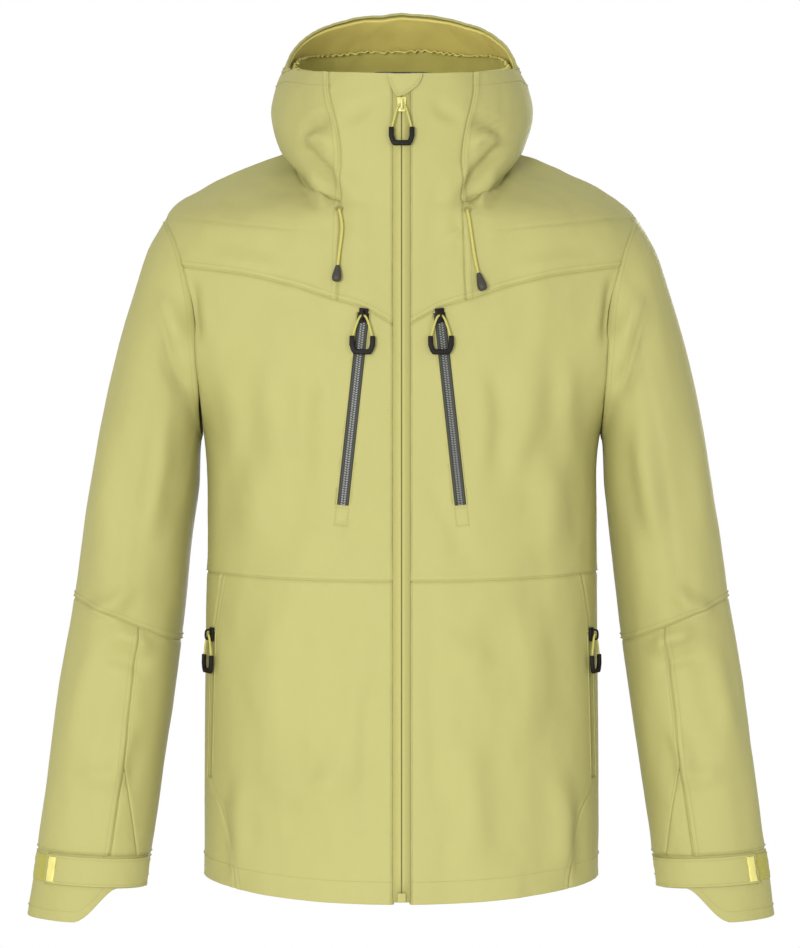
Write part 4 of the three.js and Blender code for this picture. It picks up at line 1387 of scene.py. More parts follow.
@dataclass
class TrunkPanels:
    """The sewn panels of the trunk, with their hems, seams and topstitching."""

    folds: Folds
    wardrobe: Wardrobe
    hem_stitch: float = 21.0
    seam_stitch: float = 2.0
    second_stitch: float = 6.2
    edge_stitch: float = 1.6
    stitches: list[Array] = field(default_factory=list)

    def left_panels(self) -> dict[str, Patch]:
        """The panels of the left half."""
        def edge_turn(v: float) -> float:
            return float(BODY.turn_across(PLACKET, v))

        side_top = straight([SIDE, float(waist(SIDE))], [SIDE, ARMPIT])
        return {
            "centre_panel": Patch(
                BODY, yoke_inner, straight(BODY.on_ring(PLACKET, COLLAR_TOP), BODY.on_ring(71.5, COLLAR_TOP)),
                chain(placket(YOKE_LOW, NECK), placket(NECK, COLLAR_TOP), 0.5),
                chain(collar_low, collar_high, 0.5),
                {"high": Border.HEM}, ridges=("low",),
            ),
            "front_yoke": Patch(
                BODY, yoke_outer, straight(BODY.on_ring(COLLAR_X, NECK), [SIDE, NECK]), collar_low,
                chain(armhole(ARMHOLE_YOKE, ARMHOLE_TOP), shoulder_seam, 0.5), ridges=("low", "left"),
            ),
            "chest_panel": Patch(
                BODY, around(waist, edge_turn(WAIST), SIDE), chain(yoke_inner, yoke_outer, 0.25),
                placket(WAIST, YOKE_LOW), chain(side_top, armhole(ARMPIT, ARMHOLE_YOKE), 0.4),
                ridges=("low",),
            ),
            "front_skirt": Patch(
                BODY, around(hem, edge_turn(HEM), pocket_foot), around(waist, edge_turn(WAIST), pocket_top),
                placket(HEM, WAIST), reversed_edge(pocket_seam), {"low": Border.HEM}, ridges=("right",),
            ),
            "side_panel": Patch(
                BODY, around(hem, pocket_foot, BACK_SIDE), around(waist, pocket_top, BACK_SIDE),
                reversed_edge(pocket_seam),
                straight([BACK_SIDE, float(hem(BACK_SIDE))], [BACK_SIDE, float(waist(BACK_SIDE))]),
                {"low": Border.HEM},
            ),
        }

    def back_panels(self) -> dict[str, Patch]:
        """The panels of the back, which cross its middle."""
        yoke_edge = chain(armhole(BACK_YOKE, ARMHOLE_TOP, True), shoulder_seam, 0.5)
        panel_edge = chain(
            straight([SIDE, float(waist(SIDE))], [SIDE, ARMPIT]), armhole(ARMPIT, BACK_YOKE, True), 0.5,
        )
        hem_edge, waist_edge = (around(f, BACK_SIDE, 360 - BACK_SIDE) for f in (hem, waist))
        skirt_side = up_from(hem_edge, waist_edge)
        zero, one = np.array(0.0), np.array(1.0)
        return {
            "back_yoke": Patch(
                BODY, straight(yoke_edge(zero), mirrored(yoke_edge)(zero)),
                straight([SIDE, NECK], [360 - SIDE, NECK]), yoke_edge, mirrored(yoke_edge), ridges=("low",),
            ),
            "back_panel": Patch(
                BODY, around(waist, SIDE, 360 - SIDE), straight(panel_edge(one), mirrored(panel_edge)(one)),
                panel_edge, mirrored(panel_edge),
            ),
            "back_skirt": Patch(
                BODY, hem_edge, waist_edge, skirt_side(0.0), skirt_side(1.0), {"low": Border.HEM},
                ridges=("high",),
            ),
        }

    def sew(self, name: str, laid: Laid) -> None:
        """Add the topstitching of a panel's seams and hem.

        Args:
            name: Which panel it is.
            laid: The panel's laid cloth.
        """
        near, far, edge = self.seam_stitch, self.second_stitch, self.edge_stitch
        rows = {
            "centre_panel": (("low", near), ("low", far), ("left", edge), ("right", edge)),
            "front_yoke": (("low", near), ("low", far), ("left", 6.0)),
            "chest_panel": (("left", edge), ("low", near)),
            "front_skirt": (("left", edge), ("right", 8.4)),
            "back_yoke": (("low", near), ("low", far)),
            "back_skirt": (("high", near),),
        }
        self.stitches += [laid.line(border, offset) for border, offset in rows.get(name, ())]
        if laid.borders["low"] is Border.HEM:
            self.stitches.append(laid.line("low", self.hem_stitch))

    def cut_slot(self, piece: bpy.types.Object, zip_frame: "ZipFrame") -> None:
        """Cut the opening for a pocket zip out of a thickened panel.

        Args:
            piece: The panel.
            zip_frame: The zip's place on that side.
        """
        half, reach, over = zip_frame.width / 2, 14.0, 3.0
        low, high = (-half, -reach, -zip_frame.length - 1), (half, reach, over)
        corners = [[(low, high)[(k >> n) & 1][n] for n in range(3)] for k in range(8)]
        faces = [(0, 2, 3, 1), (4, 5, 7, 6), (0, 1, 5, 4), (2, 6, 7, 3), (0, 4, 6, 2), (1, 3, 7, 5)]
        tool = zip_frame.carry(face_out(make_mesh("slot", corners, faces)))
        cut = piece.modifiers.new("slot", "BOOLEAN")
        cut.operation, cut.solver, cut.object = "DIFFERENCE", "EXACT", tool
        bake_modifiers(piece)
        bpy.data.objects.remove(tool)

    def build(self) -> None:
        """Make every panel of the trunk and its stitches."""
        slots = {"chest_panel": CHEST_PLACE, "front_skirt": HAND_PLACE, "side_panel": HAND_PLACE}
        for side, sign in SIDES:
            for name, patch in self.left_panels().items():
                laid = patch.lay(self.folds, sign < 0)
                self.sew(name, laid)
                node = f"{name}_{side}"
                piece = thicken(laid.mesh(node), CLOTH)
                if name in slots:
                    self.cut_slot(piece, slots[name].on(sign))
                dress(piece, self.wardrobe.shell, "shell_fabric", WITH_SHELL, node)
        for name, patch in self.back_panels().items():
            laid = patch.lay(self.folds)
            self.sew(name, laid)
            dress(thicken(laid.mesh(name), CLOTH), self.wardrobe.shell, "shell_fabric", WITH_SHELL, name)
        stitch("trunk_topstitching", self.stitches, self.wardrobe.thread, WITH_SHELL)


@dataclass
class Inside:
    """What shows within the jacket: the lining, the pocket bags and the hanger loop."""

    folds: Folds
    wardrobe: Wardrobe
    lining_edge: float = 15.0
    lining_top: float = -86.0
    lining_armpit: float = -300.0

    def lining(self) -> Patch:
        """The lining, cut away round both armholes."""
        def height(turn: Array) -> Array:
            from_side = np.abs(np.minimum(turn, 360 - turn) - SIDE)
            rise = self.lining_top - self.lining_armpit
            return self.lining_armpit + rise * smooth(from_side, 33, 52)

        edge, foot = self.lining_edge, HEM + 24
        rise = chain(
            straight([edge, foot], [edge, self.lining_armpit]),
            straight([edge, self.lining_armpit], [edge, self.lining_top]), 0.4,
        )
        return Patch(
            BODY, straight([edge, foot], [360 - edge, foot]), around(height, edge, 360 - edge), rise,
            mirrored(rise), ALL_WELTED,
            lift=1.0 - LINING_DEPTH, folded=0.5, cell=7.0,
        )

    def pocket_bag(self, left: float, right: float, bottom: float, top: float) -> Patch:
        """A pocket bag behind the shell between two distances from the middle and two heights."""
        corners = ((left, bottom), (right, bottom), (left, top), (right, top))
        a, b, c, d = (BODY.on_front(x, z) for x, z in corners)
        return Patch(
            BODY, straight(a, b), straight(c, d), straight(a, c), straight(b, d),
            ALL_WELTED, lift=-4.6, folded=0.6, cell=7.0,
        )

    def build(self) -> None:
        """Make the lining, the bags and the loop."""
        cloth = self.wardrobe.lining
        lining = thicken(self.lining().lay(self.folds).mesh("body_lining"), LINING_CLOTH)
        dress(lining, cloth, "lining_fabric", WITH_SHELL, "body_lining")
        bags = {"chest_pocket_bag": (28, 112, -372, -196), "hand_pocket_bag": (78, 172, -640, -456)}
        for side, sign in SIDES:
            for name, place in bags.items():
                bag = self.pocket_bag(*place).lay(self.folds, sign < 0).mesh(f"{name}_{side}")
                dress(thicken(bag, LINING_CLOTH), cloth, "lining_fabric", WITH_SHELL, f"{name}_{side}")
        path = spline([(-34, -2, -26), (-24, -3, -10), (0, -4, 0), (24, -3, -10), (34, -2, -26)])
        middle = path(np.linspace(0, 1, 33))
        loop = make_band("hanger_loop", middle, (0, 1, 0), 8.0, 1.1)
        dress(loop, self.wardrobe.cord, "ribbon", WITH_SHELL, "hanger_loop")


# ---- the hood --------------------------------------------------------------------------------


@dataclass
class Hood:
    """The hood's panels, its brim, and the gathered lining inside."""

    folds: Folds
    wardrobe: Wardrobe
    brim_start: float = 84.0
    facing_start: float = 62.0
    lining_start: float = 45.0

    def facing_line(self, turn: Array) -> Array:
        """The gathered seam between the facing and the lining."""
        return COLLAR_TOP + 1 - 13 * smooth(np.minimum(turn, 360 - turn), 70, 150)

    def side(self) -> Patch:
        """The left side panel, from the collar seam to the crown."""
        foot = chain(
            straight(BODY.on_ring(COLLAR_X, NECK), [SIDE, NECK]),
            straight([SIDE, NECK], [CROWN_SIDE, NECK]), 0.5,
        )
        top = chain(
            around(brim_line, float(BODY.turn_across(71.5, COLLAR_TOP)), SIDE),
            around(brim_line, SIDE, CROWN_SIDE), 0.5,
        )
        crown = straight([CROWN_SIDE, NECK], [CROWN_SIDE, float(brim_line(CROWN_SIDE))])
        return Patch(BODY, foot, top, collar_high, crown, {"high": Border.WELT}, ridges=("left",))

    def band(self, start: float, low: Callable, high: Callable, **options: object) -> Patch:
        """A panel round the back of the hood between two levels."""
        end = 360 - start
        below, above = around(low, start, end), around(high, start, end)
        side = up_from(below, above)
        return Patch(BODY, below, above, side(0.0), side(1.0), **options)

    def build(self) -> None:
        """Make the hood's pieces and its stitches."""
        shell, stitches = self.wardrobe.shell, []
        for side, sign in SIDES:
            laid = self.side().lay(self.folds, sign < 0)
            name = f"hood_side_{side}"
            dress(thicken(laid.mesh(name), CLOTH), shell, "shell_fabric", WITH_HOOD, name)
            stitches += [laid.line("left", 2.0), laid.line("left", 6.2), laid.line("right", 2.0)]
            stitches.append(laid.line("high", 14.0, 0.0, 0.5))

        def level(height: float) -> Callable[[Array], Array]:
            return lambda turn: height + 0 * turn

        free = dict.fromkeys(("left", "right"), Border.WELT)
        crown = self.band(CROWN_SIDE, level(NECK), brim_line).lay(self.folds)
        brim = self.band(
            self.brim_start, brim_line, level(COLLAR_TOP), ridges=("low",), borders={"high": Border.WELT},
        ).lay(self.folds)
        facing = self.band(
            self.facing_start, lambda t: self.facing_line(t) - 5, level(COLLAR_TOP - 1.4),
            lift=-3.9, folded=1.0, borders={**free, "high": Border.LIP},
        ).lay(self.folds)
        lining = self.band(
            self.lining_start, level(NECK + 22), self.facing_line, lift=-7.4, folded=1.0,
            borders=free, gathers=("high",),
        ).lay(self.folds)
        stitches += [brim.line("low", 2.0), brim.line("low", 6.2)]
        dress(thicken(crown.mesh("hood_crown"), CLOTH), shell, "shell_fabric", WITH_HOOD, "hood_crown")
        dress(thicken(brim.mesh("hood_brim"), CLOTH), shell, "shell_fabric", WITH_HOOD, "hood_brim")
        inside = self.wardrobe.inside
        dress(thicken(facing.mesh("hood_facing"), LINING_CLOTH), inside, "lining_fabric", WITH_HOOD)
        dress(
            thicken(lining.mesh("hood_lining"), LINING_CLOTH), self.wardrobe.lining, "lining_fabric",
            WITH_HOOD, "hood_lining",
        )
        stitch("hood_topstitching", stitches, self.wardrobe.thread, WITH_HOOD)
        self.collar_facing()

    def collar_facing(self) -> None:
        """Make a near-black sheet inside the front of the collar, painted shade that shows just over its
        edge.
        """
        reach = 23.0
        top = around(lambda t: COLLAR_TOP + 1.8 - 4.5 * smooth(np.abs(t), 9, 26), -reach, reach)
        foot = straight([-reach, 44.0], [reach, 44.0])
        side = up_from(foot, top)
        patch = Patch(
            BODY, foot, top, side(0.0), side(1.0),
            ALL_WELTED, lift=-5.0, folded=0.0,
        )
        # painted shade: the sheet's near-black finish stands in for the shade in the collar's opening
        cloth = thicken(patch.lay(self.folds).mesh("collar_facing"), 0.8)
        dress(cloth, self.wardrobe.painted_collar_shade, "lining_fabric", WITH_SHELL)


# ---- zips ------------------------------------------------------------------------------------


@dataclass(frozen=True)
class ZipFrame:
    """A place on a zip: y into the jacket and z up along it, with the zip's length and width."""

    origin: Point
    inward: Point
    up: Point
    length: float
    width: float = 11.6

    def on(self, sign: int) -> "ZipFrame":
        """The same place on either side of the jacket."""
        flip = [tuple(a * b for a, b in zip(v, (sign, 1, 1))) for v in (self.origin, self.inward, self.up)]
        return ZipFrame(*flip, self.length, self.width)

    def matrix(self) -> Matrix:
        """The move from the zip's own axes to the jacket's, in metres."""
        y, z = Vector(self.inward).normalized(), Vector(self.up).normalized()
        turned = Matrix((y.cross(z), y, z)).transposed().to_4x4()
        return Matrix.Translation(Vector(self.origin) * MM) @ turned

    def carry(self, piece: bpy.types.Object) -> bpy.types.Object:
        """Move a piece that was made in the zip's axes."""
        piece.data.transform(self.matrix())
        return piece

    def line(self, points: Sequence[Point]) -> Array:
        """Points of the zip's axes in the jacket's."""
        move = self.matrix()
        return np.array([move @ (Vector(point) * MM) for point in points]) / MM


MAIN_PLACE = ZipFrame((0, -197.37, 33.5), (0, 0.9990, -0.0450), (0, 0.0450, 0.9990), 796.0)
CHEST_PLACE = ZipFrame(
    (36.90, -205.91, -171.00), (-0.0853, 0.9956, -0.0393), (-0.1076, 0.0300, 0.9937), 183.15,
)
HAND_PLACE = ZipFrame(
    (185.50, -142.20, -482.00), (-0.9145, 0.4043, -0.0138), (-0.0250, -0.0225, 0.9994), 140.08,
)


def prism(
    name: str, outline: Sequence[tuple[float, float]], front: float, back: float, bevel: float = 0.0
) -> bpy.types.Object:
    """Make a plate from its outline of x and z.

    Args:
        name: The piece's name.
        outline: Its corners.
        front: The y of its front.
        back: The y of its back.
        bevel: The width of its rounded edges.

    Returns:
        The plate, with a UV map in metres.
    """
    count = len(outline)
    points = [(x, y, z) for y in (front, back) for x, z in outline]
    faces = [list(range(count)), list(range(count, 2 * count))]
    faces += [[k, (k + 1) % count, count + (k + 1) % count, count + k] for k in range(count)]
    uvs = [(points[k][0] * MM, points[k][2] * MM) for face in faces for k in face]
    piece = face_out(make_mesh(name, points, faces, uvs))
    if bevel:
        rounding = piece.modifiers.new("rounding", "BEVEL")
        rounding.width, rounding.segments, rounding.limit_method = bevel * MM, 3, "ANGLE"
        bake_modifiers(piece)
    return piece


def strip(name: str, profile: Sequence[tuple[float, float]], top: float, foot: float) -> bpy.types.Object:
    """Make a straight strip with a profile of x and y between two heights."""
    heights = np.linspace(top, foot, 24)
    return make_tube(name, np.array([[(x, y, z) for x, y in profile] for z in heights]))


@dataclass(frozen=True)
class Pull:
    """A zip's slider with its cord loop and moulded grip, in the zip's axes."""

    drop: float
    lean: float = 0.0
    face: float = -0.4
    eye: float = -5.1
    cord_radius: float = 1.1

    def slider(self, name: str) -> bpy.types.Object:
        """The slider's bevelled plates and its arch."""
        body = prism("plate", [(-4.6, 7), (4.6, 7), (3.6, -7), (-3.6, -7)], self.face - 2.6, self.face, 0.8)
        y = self.face + self.eye
        way = [(0, self.face - 2, 4.6), (0, y - 1.2, 4.5), (0, y - 2.5, 2.9), (0, y - 2.8, 0),
               (0, y - 2.5, -2.9), (0, y - 1.2, -4.5), (0, self.face - 2, -4.6)]
        return merge(name, [body, sweep("arch", spline(way)(np.linspace(0, 1, 31)), 1.0, 10)])

    def turned(self, piece: bpy.types.Object) -> bpy.types.Object:
        """Lean a hanging piece so that it hangs plumb."""
        piece.data.transform(Matrix.Rotation(math.radians(self.lean), 4, "Y"))
        return piece

    def cord(self, name: str) -> bpy.types.Object:
        """The cord loop through the slider's eye."""
        y, drop = self.face + self.eye, self.drop
        half = [(2.2, y, -1.1), (4.4, y, -4.6), (7, y, -drop * 0.6), (9.8, y + 0.2, -drop - 2)]
        way = [(-x, a, b) for x, a, b in half[::-1]] + [(0, y, -0.4)] + half
        return self.turned(sweep(name, spline(way)(np.linspace(0, 1, 73)), self.cord_radius, 10))

    def grip(self, name: str) -> bpy.types.Object:
        """The wide U that holds the cord's ends."""
        ring = [(12.5, 0), (7.5, 0), (7.5, -8), (6, -13), (-6, -13), (-7.5, -8), (-7.5, 0), (-12.5, 0),
                (-12.5, -9), (-10.6, -14.6), (-8.2, -18), (8.2, -18), (10.6, -14.6), (12.5, -9)]
        outline = [(x, z - self.drop) for x, z in ring]
        front = self.face + self.eye - 1.8
        return self.turned(prism(name, outline, front, front + 3.8, 1.1))


@dataclass
class FrontZip:
    """The front zip: tapes, storm flap, chin guard, stop box, slider and pull."""

    wardrobe: Wardrobe
    place: ZipFrame = MAIN_PLACE
    top: float = 29.5
    foot: float = -768.5
    pull: Pull = Pull(22.3)
    coil: tuple[tuple[float, float], ...] = (
        (0.3, 1.6), (0.3, 0.3), (0.8, -0.15), (2.2, -0.35), (3.4, 0.0), (3.8, 0.35), (8.6, 0.45), (8.6, 1.6),
    )
    guard: tuple[tuple[float, float], ...] = (
        (-14, 30.3), (-13.4, 25.5), (-11.6, 20.5), (-8.6, 13.5), (-6.3, 9.6), (-4.4, 8.2), (-2, 8.0),
        (2, 9.2), (7, 12), (13, 16.5), (16.4, 20), (18.6, 24), (20, 27.5), (20.4, 30.3),
    )

    def build(self) -> None:
        """Make every piece of the front zip."""
        wear, place = self.wardrobe, self.place
        for side, sign in SIDES:
            profile = [(x * sign, y) for x, y in self.coil]
            tape = place.carry(strip(f"main_zip_tape_{side}", profile, self.top, self.foot))
            dress(tape, wear.tape, "front_zip", WITH_SHELL, f"main_zip_tape_{side}")
        flap = place.carry(strip(
            "storm_flap", [(-20, 7.4), (-20, 6.2), (20, 6.2), (20, 7.4)], self.top - 1, self.foot + 4,
        ))
        dress(flap, wear.inside, "lining_fabric", WITH_SHELL, "storm_flap")
        box = [(-4, self.foot), (4, self.foot), (4, self.foot + 9), (-4, self.foot + 9)]
        stop = place.carry(prism("zip_box", box, -2.6, -0.2, 0.6))
        dress(stop, wear.tape, "front_zip", WITH_SHELL, "zip_box")
        guard = place.carry(prism("chin_guard", self.guard, -1.7, -0.3, 0.35))
        dress(guard, wear.shell, "shell_fabric", WITH_SHELL, "chin_guard")
        self.sew_guard()
        slider = place.carry(self.pull.slider("main_slider"))
        dress(slider, wear.enamel, "zip_slider", Follow("main_slider"), "main_slider")
        cord = place.carry(self.pull.cord("main_pull_cord"))
        dress(cord, wear.cord, "pull_cord", Follow("main_pull"), "main_pull_cord")
        grip = place.carry(self.pull.grip("main_pull_grip"))
        dress(grip, wear.grip, "pull_grip", Follow("main_pull"), "main_pull_grip")

    def sew_guard(self) -> None:
        """Stitch round the guard's edge and down both sides of its foot."""
        rim = np.array(self.guard)[1:-1]
        centre = np.array([2.0, 24.0])
        lines = []
        for inset in (1.5, 3.2):
            way = centre - rim
            near = rim + inset * way / np.linalg.norm(way, axis=1, keepdims=True)
            lines.append(self.place.line([(x, -1.8, z) for x, z in near]))
        stitch("guard_topstitching", lines, self.wardrobe.thread, WITH_SHELL)


@dataclass
class PocketZip:
    """A pocket's zip on both sides: tape, teeth, frame, slider and pull."""

    name: str
    place: ZipFrame
    wardrobe: Wardrobe
    tape: bpy.types.Material
    slot: str
    pull: Pull
    metal: bpy.types.Material
    stitched_end: bool = False
    over: float = 3.0
    pitch: float = 2.3
    tape_half: tuple[tuple[float, float], ...] = (
        (0, 0.7), (3.1, 0.7), (3.3, 0.15), (4.7, 0.15), (4.9, 0.6), (6.6, 0.6), (6.6, 1.7), (0, 1.7),
    )

    def teeth(self, name: str, place: ZipFrame) -> bpy.types.Object:
        """Two rows of slanted teeth that meet in the middle."""
        rows = []
        for sign in (1, -1):
            start = self.over - (1 + sign) * self.pitch / 4
            line = place.line([(1.35 * sign, 0.3, start), (1.35 * sign, 0.3, -place.length)])
            row = Row(Bead.TOOTH, self.pitch, (0.95, 2.5, 0.8), 30 * sign)
            facing = tuple(-value for value in place.inward)
            rows.append(row.along(f"{name}_{sign}", [line], self.metal, facing))
        return merge(name, rows)

    def piping(self, name: str, place: ZipFrame) -> bpy.types.Object:
        """The narrow raised edge round the slot."""
        half, foot, top = place.width / 2 + 0.5, -place.length - 1.6, self.over + 0.4
        corners = [(-half, top), (-half, foot), (half, foot), (half, top), (-half, top)]
        ring = []
        for (ax, az), (bx, bz) in zip(corners, corners[1:]):
            for s in np.linspace(0.02, 0.98, 14):
                ring.append((ax + (bx - ax) * s, 0.15, az + (bz - az) * s))
        return place.carry(sweep(name, np.array(ring), 0.65, 8))

    def sew_end(self, name: str, place: ZipFrame) -> None:
        """Stitch a box below the zip, where the tape ends under the shell."""
        top, foot = -place.length - 4, -place.length - 20
        corners = [(-6, top), (6, top), (6, foot), (-6, foot), (-6, top)]
        box = place.line([(x, -0.55, z) for x, z in corners])
        edge = place.line([(-6, -0.55, foot - 1.4), (6, -0.55, foot - 1.4)])
        stitch(name, [box, edge], self.wardrobe.thread, WITH_SHELL)

    def build(self) -> None:
        """Make the zip of both sides."""
        wear = self.wardrobe
        for side, sign in SIDES:
            place, name = self.place.on(sign), f"{self.name}_{{}}_{side}".format
            half = self.tape_half
            profile = [*half[:-1], *((-x, y) for x, y in half[1:-1][::-1])]
            tape = place.carry(strip(name("zip"), profile, self.over, -place.length - 1))
            dress(tape, self.tape, self.slot, WITH_SHELL, name("zip"))
            dress(self.teeth(name("teeth"), place), self.metal, self.slot, WITH_SHELL)
            dress(self.piping(name("piping"), place), wear.shell, "shell_fabric", WITH_SHELL)
            if self.stitched_end:
                self.sew_end(name("end_stitches"), place)
            pull = Pull(self.pull.drop, self.pull.lean * sign)
            slider = place.carry(pull.slider(name("slider")))
            dress(slider, wear.grip, "zip_slider", Follow(name("slider")), name("slider"))
            cord = place.carry(pull.cord(name("pull_cord")))
            dress(cord, wear.cord, "pull_grip", Follow(name("pull")))
            grip = place.carry(pull.grip(name("pull")))
            dress(grip, wear.grip, "pull_grip", Follow(name("pull")), name("pull"))


# ---- the sleeves -----------------------------------------------------------------------------


@dataclass
class Sleeves:
    """Both sleeves: two tubes, the gusset, the cuff and its tab."""

    folds: Folds
    wardrobe: Wardrobe
    gusset_tip: float = 0.03
    seam_share: float = 0.6657

    def tube(self, low: float, high: Callable[[Array], Array], **options: object) -> Patch:
        """A tube right round the sleeve."""
        below, above = around(lambda t: low + 0 * t, 0, 360), around(high, 0, 360)
        side = up_from(below, above)
        return Patch(SLEEVE, below, above, side(0.0), side(1.0), wrap=True, **options)

    def forearm(self) -> Patch:
        """The forearm, open at the gusset."""
        left = chain(forearm_seam, gusset_inner, self.seam_share)
        right = chain(forearm_seam, gusset_outer, self.seam_share)
        return Patch(
            SLEEVE, straight([107, ELBOW], [467, ELBOW]), straight([144, CUFF_TOP], [469.5, CUFF_TOP]),
            left, lambda s: right(s) + [360, 0], ridges=("right",),
        )

    def gusset(self) -> Patch:
        """The wedge let into the forearm above the cuff."""
        tip = self.gusset_tip
        def below(edge: Edge) -> Edge:
            return lambda s: edge(tip + (1 - tip) * np.asarray(s, float))
        outer, inner = below(gusset_outer), below(gusset_inner)
        zero, one = np.array(0.0), np.array(1.0)
        return Patch(
            SLEEVE, straight(outer(zero), inner(zero)), straight(outer(one), inner(one)), outer, inner,
            lift=-0.6,
        )

    @staticmethod
    def cuff_end(turn: Array) -> Array:
        """Where the cuff ends: longer over the back of the hand."""
        return 1.048 - 0.048 * smooth(np.minimum(turn, 360 - turn), 82, 122)

    def plate(self, start: float, end: float, low: float, high: float, lift: float) -> Patch:
        """A flat piece on the cuff."""
        below, above = straight([start, low], [end, low]), straight([start, high], [end, high])
        side = up_from(below, above)
        return Patch(
            SLEEVE, below, above, side(0.0), side(1.0), ALL_WELTED, lift=lift, folded=0.1, cell=3.0,
            fine=(0, 0.7, 1.6, 2.9),
        )

    def build(self) -> None:
        """Make both sleeves with their stitches."""
        for side, sign in SIDES:
            mirror = sign < 0
            self.build_arm(side, mirror, shoulder_bend(side, sign), elbow_bend(side, sign))
            self.build_cuff(side, mirror)

    def build_arm(self, side: str, mirror: bool, shoulder: Follow, elbow: Follow) -> None:
        """Make the upper sleeve, the forearm and the gusset.

        Args:
            side: The name of the sleeve's side.
            mirror: Whether that is the right side.
            shoulder: How the upper sleeve moves.
            elbow: How the rest moves.
        """
        thread = self.wardrobe.thread
        upper = self.tube(0.0, lambda t: ELBOW + 0 * t, ridges=("high",)).lay(self.folds, mirror)
        lower = self.forearm().lay(self.folds, mirror)
        gusset = self.gusset().lay(self.folds, mirror)
        for part, laid, follow in (
            ("upper_sleeve", upper, shoulder), ("forearm", lower, elbow), ("cuff_gusset", gusset, elbow),
        ):
            name = f"{part}_{side}"
            dress(thicken(laid.mesh(name), CLOTH), self.wardrobe.shell, "shell_fabric", follow, name)
        lines = [upper.line("high", 2.0), upper.line("high", 6.2), upper.line("low", 5.0)]
        stitch(f"upper_topstitching_{side}", lines, thread, shoulder)
        lines = [lower.line("right", 2.0), lower.line("right", 6.2), lower.line("left", 2.0)]
        lines.append(lower.line("high", 3.0))
        stitch(f"forearm_topstitching_{side}", lines, thread, elbow)

    def build_cuff(self, side: str, mirror: bool) -> None:
        """Make the cuff, its tab with the moulded grip, and the hook patch.

        Args:
            side: The name of the sleeve's side.
            mirror: Whether that is the right side.
        """
        wear, lower, tab_body = self.wardrobe, Follow(f"lower_arm_{side}"), Follow(f"cuff_tab_{side}")
        cuff = self.tube(CUFF_TOP, self.cuff_end, borders={"high": Border.HEM}).lay(self.folds, mirror)
        dress(thicken(cuff.mesh(f"cuff_{side}"), CLOTH), wear.shell, "shell_fabric", lower, f"cuff_{side}")
        lines = [cuff.line("high", 10.0), cuff.line("low", 2.0)]
        stitch(f"cuff_topstitching_{side}", lines, wear.thread, lower)
        tab = self.plate(45, 165, 0.958, 0.998, 3.0).lay(self.folds, mirror)
        name = f"cuff_tab_{side}"
        dress(thicken(tab.mesh(name), 1.2), wear.shell, "shell_fabric", tab_body, name)
        lines = [tab.line("low", 2.0), tab.line("high", 2.0), tab.line("left", 2.0)]
        stitch(f"tab_topstitching_{side}", lines, wear.thread, tab_body)
        grip = self.plate(49.5, 57, 0.961, 0.995, 4.6).lay(self.folds, mirror)
        dress(
            thicken(grip.mesh(f"cuff_grip_{side}"), 1.2), wear.strip, "moulded_strip", tab_body,
            f"cuff_grip_{side}",
        )
        patch = self.plate(8, 60, 0.960, 0.996, 0.9).lay(self.folds, mirror)
        dress(thicken(patch.mesh(f"hook_patch_{side}"), 0.6), wear.hooks, "shell_fabric", lower)


# ---- drawcords -------------------------------------------------------------------------------


@dataclass(frozen=True)
class Drawcord:
    """A hood cord that hangs from its tunnel, with a moulded end."""

    side: str
    route: tuple[Point, ...]
    end_length: float
    radius: float = 1.5
    end_shape: tuple[tuple[float, float], ...] = (
        (0.0, 1.7), (0.04, 2.2), (0.15, 2.7), (0.2, 3.1), (0.24, 2.8), (0.3, 3.3), (0.55, 4.2), (0.75, 4.6),
        (0.86, 4.5), (0.95, 4.0), (1.0, 3.2),
    )

    def build(self, wardrobe: Wardrobe) -> None:
        follow = Follow(f"drawcord_{self.side}")
        way = spline(self.route)(np.linspace(0, 1, 121))
        cord = sweep(f"hood_cord_{self.side}", way, self.radius, 12)
        dress(cord, wardrobe.cord, "pull_cord", follow, f"hood_cord_{self.side}")
        down = way[-1] - way[-4]
        down /= np.linalg.norm(down)
        shares = np.array([share for share, _ in self.end_shape])
        radii = np.array([radius for _, radius in self.end_shape])
        fine = np.linspace(0, 1, 60)
        line = way[-1] + down * (fine * self.end_length)[:, None]
        end = sweep(
            f"cord_end_{self.side}", line - down * 0.4, 1.0, 24, lambda s: np.interp(s, shares, radii),
        )
        dress(end, wardrobe.tip, "cord_tip", follow, f"cord_end_{self.side}")
        path = [tuple(point * MM) for point in way]
        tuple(path[0])
        start = way[0] - (way[3] - way[0]) / np.linalg.norm(way[3] - way[0]) * 1.0
        angles = np.linspace(0, 2 * np.pi, 33)
        ring = [start + (3.1 * math.cos(a), -0.2, 2.2 * math.sin(a)) for a in angles]
        eyelet = sweep(f"cord_eyelet_{self.side}", np.array(ring), 0.7, 8)
        dress(eyelet, wardrobe.thread, "shell_fabric", WITH_SHELL)


DRAWCORDS = (
    Drawcord("left", (
        (63.5, -199.2, -69), (64.2, -200.3, -72.5), (65, -201.1, -76), (65.7, -201.8, -80.5),
        (66.3, -202.3, -85), (67, -202.7, -89.5), (67.6, -202.9, -94), (68.3, -203.2, -99),
        (69, -203.5, -104), (69.8, -203.7, -109), (70.6, -203.9, -114), (71.5, -204.2, -118.5),
        (72.4, -204.5, -123), (73.3, -205.1, -127), (74.2, -205.9, -130.4),
    ), 17.5),
    Drawcord("right", (
        (-60.5, -199.4, -68), (-59.4, -200.8, -72), (-58.6, -201.9, -76), (-58, -202.6, -80),
        (-57.6, -203.1, -84), (-57.6, -203.5, -88.5), (-58, -203.7, -93), (-58.6, -203.9, -97.5),
        (-59.2, -204.1, -102), (-59.7, -204.3, -106), (-60.2, -204.5, -110), (-60.6, -204.8, -113.5),
        (-61, -205.2, -117), (-61.3, -205.7, -120), (-61.6, -206.3, -123),
    ), 15.5),
)


# ---- studio ----------------------------------------------------------------------------------


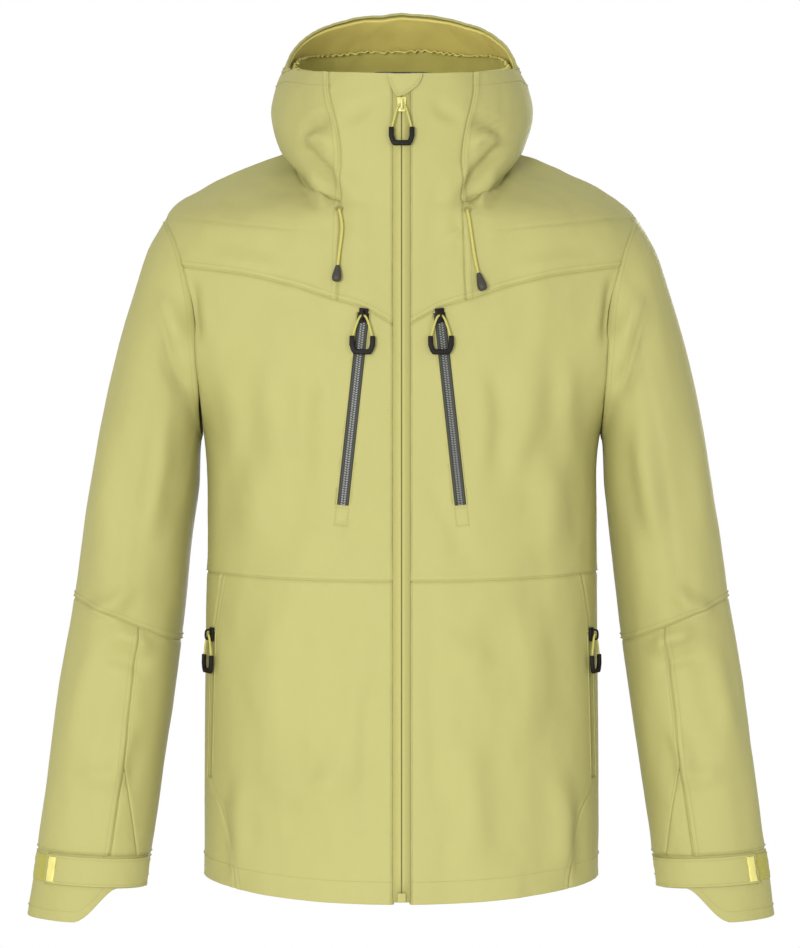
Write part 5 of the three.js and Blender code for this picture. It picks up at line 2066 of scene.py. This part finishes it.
@dataclass
class Studio:
    """The camera, the pale floor and the soft lights."""

    eye: Point = (-0.0016, -3.295, -0.324)
    lens: float = 144.0
    floor_height: float = -1.25
    floor_radius: float = 2.2

    def camera(self) -> None:
        """Set the camera straight in front."""
        data = bpy.data.cameras.new("camera")
        data.lens, data.sensor_width, data.sensor_fit = self.lens, 36.0, "HORIZONTAL"
        data.clip_start, data.clip_end = 0.1, 50
        camera = bpy.data.objects.new("camera", data)
        camera.location, camera.rotation_euler = self.eye, (math.pi / 2, 0, 0)
        bpy.context.scene.collection.objects.link(camera)
        bpy.context.scene.camera = camera

    def light(self, name: str, place: Point, size: float, power: float) -> None:
        """Add a square soft light aimed at the jacket's middle."""
        data = bpy.data.lights.new(name, "AREA")
        data.size, data.energy = size, power
        lamp = bpy.data.objects.new(name, data)
        lamp.location = place
        aim = Vector((0, -0.1, -0.33)) - Vector(place)
        lamp.rotation_euler = aim.to_track_quat("-Z", "Y").to_euler()
        bpy.context.scene.collection.objects.link(lamp)

    def build(self) -> None:
        """Make the studio."""
        scene = bpy.context.scene
        self.camera()
        world = bpy.data.worlds.new("surroundings")
        world.use_nodes = True
        world.node_tree.nodes["Background"].inputs[0].default_value = (1, 1, 1, 1)
        world.node_tree.nodes["Background"].inputs[1].default_value = 1.0
        scene.world = world
        scene.view_settings.view_transform = "Standard"
        self.light("key", (-0.9, -3.1, -0.1), 0.9, 88)
        self.light("fill", (1.3, -2.6, -0.4), 1.4, 18)
        self.light("back", (0.8, 3.0, 0.1), 1.4, 45)
        angles = np.linspace(0, 2 * np.pi, 96, endpoint=False)
        rim = np.stack([np.cos(angles), np.sin(angles), 0 * angles], -1) * self.floor_radius
        rim[:, 2] = self.floor_height
        floor = make_mesh("floor", rim / MM, [range(len(rim))])
        floor.data.materials.append(Moulded("floor_paint", "F2F2F2", "FAFAFA", 0.9).material())


def main() -> None:
    """Build the jacket in order."""
    logging.basicConfig(level=logging.INFO, format="%(message)s")
    Studio().build()
    wardrobe, folds = Wardrobe(), Folds()
    for cord in DRAWCORDS:
        cord.build(wardrobe)
    TrunkPanels(folds, wardrobe).build()
    Hood(folds, wardrobe).build()
    Inside(folds, wardrobe).build()
    FrontZip(wardrobe).build()
    chest_pull, hand_pull = Pull(20.0, 5.0), Pull(20.0)
    PocketZip(
        "chest", CHEST_PLACE, wardrobe, wardrobe.dark_tape, "pocket_zip", chest_pull, wardrobe.teeth, True,
    ).build()
    PocketZip("hand", HAND_PLACE, wardrobe, wardrobe.tape, "hand_zip", hand_pull, wardrobe.tape).build()
    Sleeves(folds, wardrobe).build()


if __name__ == "__main__":
    main()
